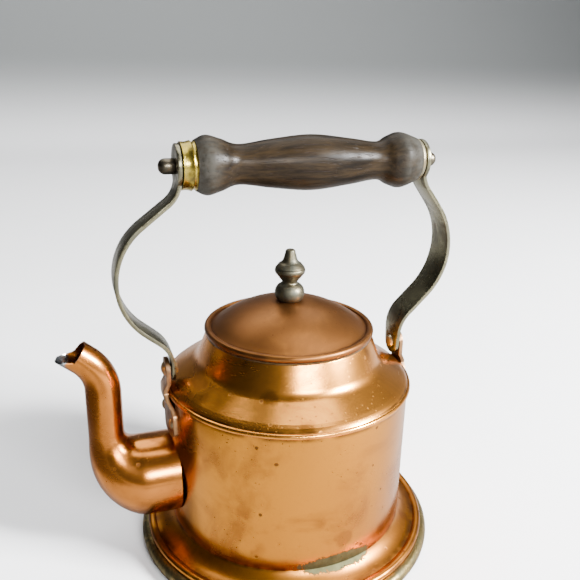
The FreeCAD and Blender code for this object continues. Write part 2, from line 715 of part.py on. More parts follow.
def ear_blank(document, name, dim):
    """An ear's shape from the front: round at the top, wide at the bottom, with its pivot hole."""
    body = new_body(document, name)
    radius, half = dim.ear_top_radius, dim.ear_half_width
    bottom = dim.seam_height - dim.ear_drop
    corner = dim.ear_corner
    outline = Outline(body, "YZ_Plane", f"{name}_front")
    outline.start(corner - half, bottom).line(half - corner, bottom)
    outline.arc(half, bottom + corner, corner, left=True)
    shoulder_low, shoulder_high = dim.seam_height - dim.ear_drop * 0.45, dim.seam_height
    outline.line(half * 0.96, shoulder_low).line(radius, shoulder_high)
    outline.line(radius, pivot_height(dim))
    outline.arc(0, pivot_height(dim) + radius, radius, left=True)
    outline.arc(-radius, pivot_height(dim), radius, left=True)
    outline.line(-radius, shoulder_high).line(half * -0.96, shoulder_low)
    outline.line(-half, bottom + corner)
    outline.arc(corner - half, bottom, corner, left=True)
    pad(body, outline.close(), dim.drum_radius * 4)
    return body


def ear(document, name, dim, side):
    """One riveted ear."""
    sheet = ear_sheet(document, f"{name}_sheet", dim)
    sheet.Placement = Placement(Vector(), Rotation(Vector(0, 0, 1), side))
    common = document.addObject("Part::Common", f"{name}_plate")
    common.Base = sheet
    common.Tool = ear_blank(document, f"{name}_blank_shape", dim)
    holes = [radial_hole(document, f"{name}_pivot_hole", dim.pivot_radius, side,
                         pivot_height(dim), dim.drum_radius * 0.8, dim.drum_radius)]
    for angle in rivet_angles(dim, side):
        holes.append(radial_hole(document, f"{name}_rivet_hole", dim.rivet_radius, angle,
                                 rivet_height(dim), dim.drum_radius * 0.8, dim.drum_radius))
    return solid_difference(document, name, common, holes)


def rivet(document, name, shank_from, shank_to, shank, head, crown):
    """A rivet along +Z: a domed head outside, a flatter one inside."""
    body = new_body(document, name)
    flat_crown = crown * 0.7
    dome = (head * head + crown * crown) / (crown * 2)
    outline = Outline(body, "XZ_Plane", f"{name}_section")
    outline.start(0, shank_from - flat_crown).line(head * 0.7, shank_from - flat_crown)
    outline.line(head * 0.9, shank_from).line(shank, shank_from).line(shank, shank_to)
    outline.line(head, shank_to)
    outline.arc(0, shank_to + crown, dome, left=True)
    revolve(body, outline.close())
    return body


def ear_rivets(document, name, dim, side):
    """The two rivets that hold one ear to the drum."""
    solids = []
    inner = dim.drum_radius - dim.sheet_gauge - dim.rivet_head_gap
    outer = dim.drum_radius + dim.ear_gauge
    for number, angle in enumerate(rivet_angles(dim, side), start=1):
        solid = rivet(document, f"{name}_{number}", inner, outer, dim.rivet_radius,
                      dim.rivet_head_radius, dim.rivet_head_height)
        solid.Placement = radial_placement(angle, rivet_height(dim).value)
        solids.append(solid)
    pair = document.addObject("Part::Compound", name)
    pair.Links = solids
    return pair


def strap_inner(dim):
    """Distance from the kettle's axis to a strap's inner face at the pivot."""
    return ear_inner_radius(dim) - dim.strap_ear_gap - dim.strap_gauge


def pivot_rivet(document, name, dim, side):
    """The rivet on which a strap swings, held in its ear."""
    inner = strap_inner(dim) - dim.strap_head_gap
    outer = ear_inner_radius(dim) + dim.ear_gauge
    body = rivet(document, name, inner, outer, dim.pivot_radius,
                 dim.pivot_head_radius, dim.pivot_head_height)
    body.Placement = radial_placement(side, pivot_height(dim).value)
    return body


# ---------------------------------------------------------------- bail

def grip_height(dim):
    """Height of the grip's axis."""
    return dim.seam_height + dim.grip_rise


def strap_top_place(dim, end):
    """Distance from the kettle's axis to the middle of a strap's upper eye."""
    half = dim.strap_gauge / 2
    if end == "front":
        return half + dim.grip_end_gap - dim.grip_front
    return dim.grip_rear + dim.grip_end_gap + dim.rear_washer_gauge + half


def strap_path(body, dim, end, sign):
    """The strap's centre line: up from the pivot, out, round its bow, in and up to the eye."""
    turn_out, out_radius = getattr(dim, f"{end}_turn_out"), getattr(dim, f"{end}_turn_out_radius")
    turn_in, in_radius = getattr(dim, f"{end}_turn_in"), getattr(dim, f"{end}_turn_in_radius")
    bow = getattr(dim, f"{end}_bow_radius")
    foot = strap_inner(dim) + dim.strap_gauge / 2
    bulge = dim.drum_radius + dim.strap_bulge
    top = strap_top_place(dim, end)
    out_share, in_share = 1 - cosine(turn_out), 1 - cosine(turn_in)
    lower_run = (bulge - foot - (out_radius + bow) * out_share) / sine(turn_out)
    upper_run = (bulge - top - (in_radius + bow) * in_share) / sine(turn_in)
    outwards = sign > 0
    across, up = foot, pivot_height(dim) - dim.strap_foot_radius * 1.2
    outline = Outline(body, "XZ_Plane", f"{end}_strap_path")
    outline.start(across * sign, up)
    up = pivot_height(dim) + getattr(dim, f"{end}_foot_length")
    outline.line(across * sign, up)
    across, up = across + out_radius * out_share, up + out_radius * sine(turn_out)
    outline.arc(across * sign, up, out_radius, left=not outwards)
    across, up = across + lower_run * sine(turn_out), up + lower_run * cosine(turn_out)
    outline.line(across * sign, up)
    across, up = bulge, up + bow * sine(turn_out)
    outline.arc(across * sign, up, bow, left=outwards)
    across, up = across - bow * in_share, up + bow * sine(turn_in)
    outline.arc(across * sign, up, bow, left=outwards)
    across, up = across - upper_run * sine(turn_in), up + upper_run * cosine(turn_in)
    outline.line(across * sign, up)
    across, up = top, up + in_radius * sine(turn_in)
    outline.arc(across * sign, up, in_radius, left=not outwards)
    outline.line(across * sign, grip_height(dim) + dim.strap_eye_radius * 1.2)
    return outline.leave_open()


def strap_strip(document, name, dim, end, sign):
    """A strip wider than the strap, bent to the strap's path."""
    body = new_body(document, name)
    path = strap_path(body, dim, end, sign)
    half_wide, half_thick = dim.strap_eye_radius * 1.2, dim.strap_gauge / 2
    middle = (strap_inner(dim) + half_thick) * sign
    section = Outline(body, "XY_Plane", f"{name}_section")
    section.start(middle - half_thick, -half_wide).line(middle + half_thick, -half_wide)
    section.line(middle + half_thick, half_wide).line(middle - half_thick, half_wide)
    profile = section.close()
    bind(profile, AttachmentOffset__Base__z=pivot_height(dim) - dim.strap_foot_radius * 1.2)
    document.recompute()
    pipe = body.newObject("PartDesign::AdditivePipe", f"{name}_pipe")
    pipe.Profile = profile
    pipe.Spine = (path, [])
    document.recompute()
    return body


def strap_front_view(document, name, dim):
    """A strap's shape from the front: round foot, widening body, narrow neck and round eye."""
    body = new_body(document, name)
    low, high = pivot_height(dim), grip_height(dim)
    foot, half, neck = dim.strap_foot_radius, dim.strap_half_width, dim.strap_neck_half_width
    eye = dim.strap_eye_radius
    widest = low + (high - low) * 0.48
    eye_foot = Size(math.sqrt(eye.value ** 2 - neck.value ** 2),
                    f"sqrt({(eye * eye - neck * neck).text})")
    outline = Outline(body, "YZ_Plane", f"{name}_outline")
    outline.start(-foot, low)
    outline.arc(0, low - foot, foot, left=True).arc(foot, low, foot, left=True)
    outline.line(half, low + foot * 3).line(half, widest)
    outline.line(neck, high - eye * 1.3).line(neck, high - eye_foot)
    outline.arc(0, high + eye, eye, left=True)
    outline.arc(-neck, high - eye_foot, eye, left=True)
    outline.line(-neck, high - eye * 1.3).line(-half, widest).line(-half, low + foot * 3)
    pad(body, outline.close(), dim.drum_radius * 4)
    return body


def strap(document, dim, end):
    """One strap of the bail, with its pivot eye and its rod eye."""
    name = f"strap_{end}"
    sign = -1.0 if end == "front" else 1.0
    side = FRONT if end == "front" else REAR
    common = document.addObject("Part::Common", f"{name}_shape")
    common.Base = strap_strip(document, f"{name}_strip", dim, end, sign)
    common.Tool = strap_front_view(document, f"{name}_view", dim)
    eye_radius = dim.pivot_radius + dim.pivot_clearance
    holes = [radial_hole(document, f"{name}_pivot_eye", eye_radius, side, pivot_height(dim),
                         dim.drum_radius * 0.5, dim.drum_radius),
             radial_hole(document, f"{name}_rod_eye", dim.rod_radius, side, grip_height(dim),
                         dim.drum_radius * 0.5, dim.drum_radius)]
    return solid_difference(document, name, common, holes)


def along_x(body, x, dim, towards):
    """Places a piece modelled along +Z on the grip's axis, pointing towards +X or -X."""
    body.Placement = Placement(Vector(x.value, 0, grip_height(dim).value),
                               Rotation(Vector(0, 1, 0), 90.0 * towards))
    return body


def rod_ends(dim):
    """Where the rod starts and ends along X."""
    half = dim.strap_gauge / 2
    front = -(strap_top_place(dim, "front") + half + dim.cap_nut_thread)
    rear = strap_top_place(dim, "rear") + half + dim.cap_nut_thread
    return front, rear


def handle_rod(document, dim):
    """The rod through grip and straps."""
    front, rear = rod_ends(dim)
    rod = document.addObject("Part::Cylinder", "handle_rod")
    bind(rod, Radius=dim.rod_radius, Height=rear - front)
    return along_x(rod, front, dim, 1)


def cap_nut(document, dim, end):
    """A round cap nut with a domed end."""
    name = f"cap_nut_{end}"
    body = new_body(document, name)
    radius, length = dim.cap_nut_radius, dim.cap_nut_length
    outline = Outline(body, "XZ_Plane", f"{name}_section")
    outline.start(dim.rod_radius, 0).line(radius * 0.92, 0).line(radius, radius * 0.12)
    outline.line(radius, length - radius * 0.8)
    outline.arc(radius * 0.3, length, radius * 0.9, left=True).line(0, length)
    outline.line(0, dim.cap_nut_thread).line(dim.rod_radius, dim.cap_nut_thread)
    revolve(body, outline.close())
    towards = -1 if end == "front" else 1
    place = (strap_top_place(dim, end) + dim.strap_gauge / 2) * towards
    return along_x(body, place, dim, towards)


def rear_washer(document, dim):
    """The domed washer between the grip's rear end and the strap."""
    body = new_body(document, "rear_washer")
    radius, gauge = dim.rear_washer_radius, dim.rear_washer_gauge
    outline = Outline(body, "XZ_Plane", "washer_section")
    outline.start(dim.rod_radius, 0).line(radius, 0)
    outline.arc(radius - gauge, gauge, gauge, left=True)
    outline.line(dim.rod_radius, gauge)
    revolve(body, outline.close())
    return along_x(body, dim.grip_rear + dim.grip_end_gap, dim, 1)


def ferrule(document, dim):
    """The brass ferrule pressed on the grip's front spigot."""
    body = new_body(document, "ferrule_front")
    radius, length, inner = dim.ferrule_radius, dim.ferrule_length, dim.spigot_radius
    outline = Outline(body, "XZ_Plane", "ferrule_section")
    outline.start(inner, 0).line(radius * 0.94, 0)
    outline.arc(radius * 0.97, length * 0.68, length, left=True)
    outline.line(radius * 0.955, length * 0.72)
    outline.arc(radius * 0.955, length, length * 0.2, left=True).line(inner, length)
    revolve(body, outline.close())
    return along_x(body, dim.grip_front, dim, 1)


def wood_grip(document, dim):
    """The turned grip: spigot, bulb, neck, belly, neck and bulb, bored for the rod."""
    spigot, ferrule_end = dim.spigot_radius.value, (dim.grip_front + dim.ferrule_length).value
    front, rear = dim.grip_front.value, dim.grip_rear.value
    length = rear - ferrule_end
    bulb, neck = dim.grip_bulb_radius.value, dim.grip_neck_radius.value
    bore = dim.rod_radius.value + dim.grip_bore_clearance.value
    turning = [(0.0, dim.ferrule_radius.value * 0.98), (0.046, bulb), (0.105, bulb * 0.88),
               (0.185, neck), (0.33, neck + (dim.grip_belly_radius.value - neck) * 0.55),
               (0.505, dim.grip_belly_radius.value),
               (0.68, neck + (dim.grip_belly_radius.value - neck) * 0.48),
               (0.81, neck), (0.87, bulb * 0.88), (0.925, bulb), (1.0, dim.grip_end_radius.value)]
    curve = Part.BSplineCurve()
    curve.interpolate([Vector(ferrule_end + share * length, 0, radius) for share, radius in turning])
    corners = [(rear, bore), (front, bore), (front, spigot), (ferrule_end, spigot)]
    corners = [Vector(x, 0, radius) for x, radius in corners]
    edges = [Part.makeLine(curve.EndPoint, corners[0])]
    edges += [Part.makeLine(a, b) for a, b in zip(corners, corners[1:])]
    edges.append(Part.makeLine(corners[-1], curve.StartPoint))
    section = Part.Face(Part.Wire([curve.toShape()] + edges))
    grip = document.addObject("Part::Feature", "wood_grip")
    grip.Shape = section.revolve(Vector(), Vector(1, 0, 0), 360)
    grip.Placement = Placement(Vector(0, 0, grip_height(dim).value), Rotation())
    return grip


# ---------------------------------------------------------------- lid

def lid_edge(dim):
    """Radius and height of the middle of the lid's rolled edge."""
    return dim.lid_radius - dim.lid_bead_radius, lid_seat(dim) + dim.lid_seat_gap + dim.lid_bead_radius


def lid_apex(dim):
    """Height of the top of the lid's dome."""
    return lid_edge(dim)[1] + dim.lid_rise


def lid_dome(document, dim):
    """The spun lid: a shallow dome, a crease and an edge rolled round a wire."""
    body = new_body(document, "lid_dome")
    edge_radius, edge_height = lid_edge(dim)
    bead, gauge = dim.lid_bead_radius, dim.sheet_gauge
    hole = dim.stud_radius + dim.stud_hole_clearance
    crease = edge_radius - bead
    dome_radius = crease - bead * 0.6
    dome_height = edge_height + bead * 0.6
    underside = edge_height - bead
    outline = Outline(body, "XZ_Plane", "lid_section")
    outline.start(hole, lid_apex(dim))
    outline.arc(dome_radius, dome_height, dim.lid_curve, left=False)
    outline.line(crease, edge_height + bead * 0.25)
    outline.arc(edge_radius, edge_height + bead, bead * 1.05, left=False)
    outline.arc(edge_radius + bead, edge_height, bead, left=False)
    outline.arc(edge_radius, underside, bead, left=False)
    outline.line(crease - bead * 0.8, underside)
    outline.line(crease - bead * 0.8, dome_height - gauge * 1.2)
    outline.arc(hole, lid_apex(dim) - gauge, dim.lid_curve, left=True)
    revolve(body, outline.close())
    curl_groove(body, "lid_wire_room", edge_radius, edge_height, dim.lid_wire_radius,
                dim.curl_slit, bead * 1.2, down=True)
    return body


def lid_collar(document, dim):
    """The collar under the lid that drops into the mouth ring."""
    body = new_body(document, "lid_collar")
    ring_inner = dim.neck_radius - dim.sheet_gauge - dim.mouth_ring_gauge
    outer = ring_inner - dim.lid_collar_clearance
    inner = outer - dim.mouth_ring_gauge
    top = lid_seat(dim) + dim.lid_seat_gap
    outline = Outline(body, "XZ_Plane", "collar_section")
    outline.start(inner, top - dim.lid_collar_depth).line(outer, top - dim.lid_collar_depth)
    outline.line(outer, top).line(inner, top)
    revolve(body, outline.close())
    return body


def finial(document, dim):
    """The turned finial: a bulb on a waist on a lower bulb, with a stem on top."""
    body = new_body(document, "lid_finial")
    foot = lid_apex(dim) + dim.lid_seat_gap
    tall, upper, lower = dim.finial_height, dim.finial_bulb_radius, dim.finial_foot_radius
    bore = dim.stud_radius
    outline = Outline(body, "XZ_Plane", "finial_section")
    outline.start(0, foot + tall).line(upper * 0.17, foot + tall)
    outline.arc(upper * 0.32, foot + tall * 0.955, upper * 0.16, left=False)
    outline.line(upper * 0.42, foot + tall * 0.84)
    outline.arc(upper * 0.72, foot + tall * 0.725, upper * 0.5, left=True)
    outline.line(upper * 0.93, foot + tall * 0.645)
    outline.line(upper * 0.95, foot + tall * 0.625)
    outline.arc(upper * 0.88, foot + tall * 0.52, upper * 0.32, left=False)
    outline.line(upper * 0.53, foot + tall * 0.385)
    outline.arc(upper * 0.53, foot + tall * 0.33, upper * 0.14, left=True)
    outline.arc(lower, foot + tall * 0.135, upper * 0.66, left=False)
    outline.arc(lower * 0.82, foot, upper * 0.6, left=False)
    outline.line(bore, foot).line(bore, foot + dim.stud_depth).line(0, foot + dim.stud_depth)
    revolve(body, outline.close())
    return body


def washer_top(dim):
    """Height of the washer's upper face, just under the lid's rounding."""
    return lid_apex(dim) - dim.sheet_gauge - dim.washer_gauge * 0.4


def finial_washer(document, dim):
    """The washer between the lid and its nut."""
    body = new_body(document, "finial_washer")
    top, radius = washer_top(dim), dim.washer_radius
    outline = Outline(body, "XZ_Plane", "finial_washer_section")
    outline.start(dim.stud_radius, top - dim.washer_gauge).line(radius, top - dim.washer_gauge)
    outline.line(radius, top).line(dim.stud_radius, top)
    revolve(body, outline.close())
    return body


def finial_nut(document, dim):
    """The hexagon nut that pulls the finial down."""
    blank = document.addObject("Part::Prism", "finial_nut_hexagon")
    blank.Polygon = 6
    bottom = washer_top(dim) - dim.washer_gauge - dim.finial_nut_height
    bind(blank, Circumradius=dim.finial_nut_radius, Height=dim.finial_nut_height,
         Placement__Base__z=bottom)
    bore = document.addObject("Part::Cylinder", "finial_nut_bore")
    bind(bore, Radius=dim.stud_radius, Height=dim.finial_nut_height, Placement__Base__z=bottom)
    return solid_difference(document, "finial_nut", blank, [bore])


def finial_stud(document, dim):
    """The stud from the nut up into the finial."""
    foot = washer_top(dim) - dim.washer_gauge - dim.finial_nut_height
    top = lid_apex(dim) + dim.lid_seat_gap + dim.stud_depth
    stud = document.addObject("Part::Cylinder", "finial_stud")
    return bind(stud, Radius=dim.stud_radius, Height=top - foot, Placement__Base__z=foot)


# ---------------------------------------------------------------- whole

def build(document):
    """Makes every piece and gives them back."""
    dim = Dimensions(document)
    base_wire_place = dim.drum_radius + dim.base_bead_reach
    lid_edge_radius, lid_edge_height = lid_edge(dim)
    pieces = [
        drum(document, dim), foot_skirt(document, dim), base_pan(document, dim),
        wire_ring(document, "base_wire", base_wire_place, dim.base_wire_radius, dim.base_bead_radius),
        shoulder(document, dim), mouth_ring(document, dim), spout(document, dim),
    ]
    for end, side in (("front", FRONT), ("rear", REAR)):
        pieces.append(ear(document, f"ear_{end}", dim, side))
        pieces.append(ear_rivets(document, f"ear_rivets_{end}", dim, side))
        pieces.append(pivot_rivet(document, f"pivot_rivet_{end}", dim, side))
        pieces.append(strap(document, dim, end))
        pieces.append(cap_nut(document, dim, end))
    pieces += [
        handle_rod(document, dim), rear_washer(document, dim), ferrule(document, dim),
        wood_grip(document, dim), lid_dome(document, dim), lid_collar(document, dim),
        wire_ring(document, "lid_wire", lid_edge_radius, dim.lid_wire_radius, lid_edge_height),
        finial(document, dim), finial_washer(document, dim), finial_nut(document, dim),
        finial_stud(document, dim),
    ]
    return pieces


def check(document, pieces):
    """Stops if anything failed to build."""
    for item in document.Objects:
        if "Invalid" in item.State or "Error" in item.State:
            raise RuntimeError(f"{item.Label} failed: {item.State}")
    for piece in pieces:
        if piece.Shape.isNull() or not piece.Shape.isValid():
            raise RuntimeError(f"{piece.Label} has no valid shape")
        if not piece.Shape.Solids:
            raise RuntimeError(f"{piece.Label} holds no solid")


def main():
    document = FreeCAD.newDocument("kettle")
    pieces = build(document)
    document.recompute()
    check(document, pieces)
    os.makedirs("parts", exist_ok=True)
    for piece in pieces:
        piece.Shape.exportStep(os.path.join("parts", f"{piece.Label}.step"))
        print(f"{piece.Label}: {len(piece.Shape.Solids)} solid, {piece.Shape.Volume:.0f} mm3")


main()
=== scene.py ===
"""Looks of the copper kettle: spun copper vessel, swan-neck spout, brass bail and turned grip."""
import logging
import math
from dataclasses import dataclass, field
from enum import Enum
from random import Random

import bpy
from mathutils import Matrix, Vector


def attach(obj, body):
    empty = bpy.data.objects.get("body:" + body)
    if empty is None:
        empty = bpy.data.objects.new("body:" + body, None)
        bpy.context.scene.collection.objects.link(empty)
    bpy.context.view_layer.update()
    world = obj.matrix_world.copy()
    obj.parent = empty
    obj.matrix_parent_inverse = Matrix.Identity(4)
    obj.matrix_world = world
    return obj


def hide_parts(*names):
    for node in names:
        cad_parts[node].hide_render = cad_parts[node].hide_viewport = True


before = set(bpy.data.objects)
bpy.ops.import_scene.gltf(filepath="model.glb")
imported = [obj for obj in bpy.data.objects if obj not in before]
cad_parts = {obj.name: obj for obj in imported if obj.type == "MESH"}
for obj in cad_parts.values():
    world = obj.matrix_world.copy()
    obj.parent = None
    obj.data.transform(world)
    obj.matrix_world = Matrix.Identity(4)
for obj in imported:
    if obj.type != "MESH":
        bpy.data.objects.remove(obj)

MM = 0.001
log = logging.getLogger("kettle")


class Axis(Enum):
    """The line that a turned piece is turned about."""

    UPRIGHT = (0.0, 0.0, 1.0)
    GRIP = (1.0, 0.0, 0.0)


class Body(str, Enum):
    """The rigid bodies that pieces ride on."""

    KETTLE = "kettle"
    BAIL = "bail"
    GRIP = "grip"
    LID = "lid"


@dataclass
class Profile:
    """A cross-section in millimetres: distance from the axis, and place along it."""

    corners: list[tuple[float, float, float]] = field(default_factory=list)

    def to(self, out: float, along: float, rounding: float = 0.0) -> "Profile":
        """Goes straight to the next corner.

        Args:
            out: distance from the axis.
            along: place along the axis.
            rounding: radius that the corner is rounded with.

        Returns:
            The profile itself, so that steps can be chained.
        """
        self.corners.append((out, along, rounding))
        return self

    def arc(self, out: float, along: float, radius: float, left: bool = False,
            step: float = 7.0) -> "Profile":
        """Goes along an arc to the next corner.

        Args:
            out: distance from the axis at the arc's end.
            along: place along the axis at the arc's end.
            radius: the arc's radius.
            left: whether the arc turns left on its way.
            step: degrees between two points.

        Returns:
            The profile itself.
        """
        start_out, start_along, _ = self.corners[-1]
        run = Vector((out - start_out, along - start_along))
        rise = math.sqrt(max(radius**2 - (run.length / 2) ** 2, 0.0)) * (1 if left else -1)
        across = Vector((-run.y, run.x)).normalized() * rise
        centre = Vector(((out + start_out) / 2, (along + start_along) / 2)) + across
        begin = math.atan2(start_along - centre.y, start_out - centre.x)
        finish = math.atan2(along - centre.y, out - centre.x)
        sweep = (finish - begin) % math.tau if left else -((begin - finish) % math.tau)
        count = max(2, math.ceil(abs(math.degrees(sweep)) / step))
        for number in range(1, count):
            turn = begin + sweep * number / count
            self.corners.append((centre.x + radius * math.cos(turn), centre.y + radius * math.sin(turn),
                                 0.0))
        self.corners.append((out, along, 0.0))
        return self

    def through(self, places: list[tuple[float, float]], steps: int = 8) -> "Profile":
        """Goes smoothly through places, as a turner's long curve does.

        Args:
            places: pairs of distance from the axis and place along it.
            steps: points between two places.

        Returns:
            The profile itself.
        """
        padded = [places[0]] + places + [places[-1]]
        for before, first, last, after in zip(padded, padded[1:], padded[2:], padded[3:]):
            for number in range(steps):
                share = number / steps
                out, along = (self.smooth(before[axis], first[axis], last[axis], after[axis], share)
                              for axis in (0, 1))
                self.corners.append((out, along, 0.0))
        self.corners.append((*places[-1], 0.0))
        return self

    @staticmethod
    def smooth(before: float, first: float, last: float, after: float, share: float) -> float:
        """Gives the value a share of the way from first to last, with an even slope.

        Args:
            before: the value before first.
            first: the value at the start.
            last: the value at the end.
            after: the value after last.
            share: how far along it is, from nought to one.

        Returns:
            The value there.
        """
        slope_in, slope_out = (last - before) / 2, (after - first) / 2
        bend = 2 * (first - last) + slope_in + slope_out
        turn = 3 * (last - first) - 2 * slope_in - slope_out
        return ((bend * share + turn) * share + slope_in) * share + first

    def points(self, closed: bool) -> list[tuple[float, float]]:
        """Gives the profile's points with its corners rounded.

        Args:
            closed: whether the last corner is joined to the first.

        Returns:
            Pairs of distance from the axis and place along it, in millimetres.
        """
        found: list[tuple[float, float]] = []
        count = len(self.corners)
        for number, (out, along, rounding) in enumerate(self.corners):
            inside = closed or 0 < number < count - 1
            if rounding <= 0 or not inside:
                found.append((out, along))
                continue
            here = Vector((out, along))
            back = Vector(self.corners[number - 1][:2]) - here
            ahead = Vector(self.corners[(number + 1) % count][:2]) - here
            angle = back.angle(ahead)
            reach = min(rounding / math.tan(angle / 2), back.length * 0.49, ahead.length * 0.49)
            first, last = here + back.normalized() * reach, here + ahead.normalized() * reach
            for share in (0.0, 0.25, 0.5, 0.75, 1.0):
                bow = (1 - share) ** 2 * first + 2 * share * (1 - share) * here + share**2 * last
                found.append((bow.x, bow.y))
        return found


class Workshop:
    """The ways in which pieces are made."""

    @staticmethod
    def lone_vertex(name: str, place: Vector) -> bpy.types.Object:
        """Starts a mesh as one vertex at a place, left in edit mode.

        Args:
            name: the piece's name.
            place: where the vertex stands, in metres.

        Returns:
            The new object.
        """
        bpy.ops.object.select_all(action="DESELECT")
        bpy.ops.mesh.primitive_plane_add(size=MM)
        piece = bpy.context.object
        piece.name = piece.data.name = name
        bpy.ops.object.mode_set(mode="EDIT")
        bpy.context.tool_settings.mesh_select_mode = (True, False, False)
        bpy.ops.mesh.select_all(action="SELECT")
        bpy.ops.mesh.merge(type="CENTER")
        bpy.ops.transform.translate(value=place)
        return piece

    @staticmethod
    def close_edit(angle: float = 40.0) -> bpy.types.Object:
        """Merges doubles, turns the faces outwards and smooths the active piece.

        Args:
            angle: edges sharper than this many degrees stay sharp.

        Returns:
            The finished piece.
        """
        bpy.ops.mesh.select_all(action="SELECT")
        bpy.ops.mesh.remove_doubles(threshold=0.004 * MM)
        bpy.ops.mesh.normals_make_consistent(inside=False)
        bpy.ops.object.mode_set(mode="OBJECT")
        bpy.ops.object.shade_smooth_by_angle(angle=math.radians(angle))
        return bpy.context.object

    @classmethod
    def turned(cls, name: str, profile: Profile, closed: bool = True, axis: Axis = Axis.UPRIGHT,
               height: float = 0.0, steps: int = 144) -> bpy.types.Object:
        """Makes a piece as on a lathe: its profile is drawn edge by edge, then spun.

        Args:
            name: the piece's name.
            profile: its cross-section.
            closed: whether the profile's ends are joined; not so where they lie on the axis.
            axis: the line it is turned about.
            height: height of that line above the ground, in millimetres, for one that lies level.
            steps: flats round the piece.

        Returns:
            The finished piece.
        """
        points = profile.points(closed)
        if closed:
            points.append(points[0])

        def place(point: tuple[float, float]) -> Vector:
            """Sets a profile point upright in the world.

            Args:
                point: distance from the axis and place along it.

            Returns:
                The point in metres.
            """
            out, along = point
            if axis is Axis.UPRIGHT:
                return Vector((out, 0, along)) * MM
            return Vector((along, 0, height + out)) * MM

        cls.lone_vertex(name, place(points[0]))
        for here, there in zip(points, points[1:]):
            bpy.ops.mesh.extrude_region_move(TRANSFORM_OT_translate={"value": place(there) - place(here)})
        bpy.ops.mesh.select_all(action="SELECT")
        bpy.ops.mesh.spin(steps=steps, angle=math.tau, center=(0, 0, height * MM), axis=axis.value)
        return cls.close_edit()

    @staticmethod
    def apply_modifier(piece: bpy.types.Object, kind: str, **settings: object) -> None:
        """Adds a modifier to a piece and applies it.

        Args:
            piece: the piece.
            kind: the modifier's type.
            **settings: the modifier's settings.
        """
        modifier = piece.modifiers.new(kind.lower(), kind)
        for setting, value in settings.items():
            setattr(modifier, setting, value)
        bpy.ops.object.select_all(action="DESELECT")
        piece.select_set(True)
        bpy.context.view_layer.objects.active = piece
        bpy.ops.object.modifier_apply(modifier=modifier.name)

    @staticmethod
    def fit(piece: bpy.types.Object, body: Body, stands_for: str, finish: "Finish") -> bpy.types.Object:
        """Gives a new piece its finish and puts it in the place of a CAD node.

        Args:
            piece: the new piece.
            body: the body it rides on.
            stands_for: the node it replaces.
            finish: its finish.

        Returns:
            The piece.
        """
        piece.data.materials.clear()
        piece.data.materials.append(finish.material())
        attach(piece, body.value)
        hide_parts(stands_for)
        log.info("%s: %d faces, stands for %s", piece.name, len(piece.data.polygons), stands_for)
        return piece

    @staticmethod
    def dress(node: str, finish: "Finish", soften: float = 0.0) -> bpy.types.Object:
        """Smooths a carried-over node and gives it its finish.

        Args:
            node: the node's name.
            finish: its finish.
            soften: width in millimetres by which its edges are eased.

        Returns:
            The node's object.
        """
        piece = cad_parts[node]
        for face in piece.data.polygons:
            face.use_smooth = True
        weld = piece.modifiers.new("weld", "WELD")
        weld.merge_threshold = 0.002 * MM
        if soften > 0:
            ease = piece.modifiers.new("eased edges", "BEVEL")
            ease.width = soften * MM
            ease.segments = 2
            ease.limit_method = "ANGLE"
            ease.angle_limit = math.radians(35)
        split = piece.modifiers.new("sharp edges", "EDGE_SPLIT")
        split.split_angle = math.radians(38)
        piece.data.materials.clear()
        piece.data.materials.append(finish.material())
        log.info("%s: dressed", node)
        return piece


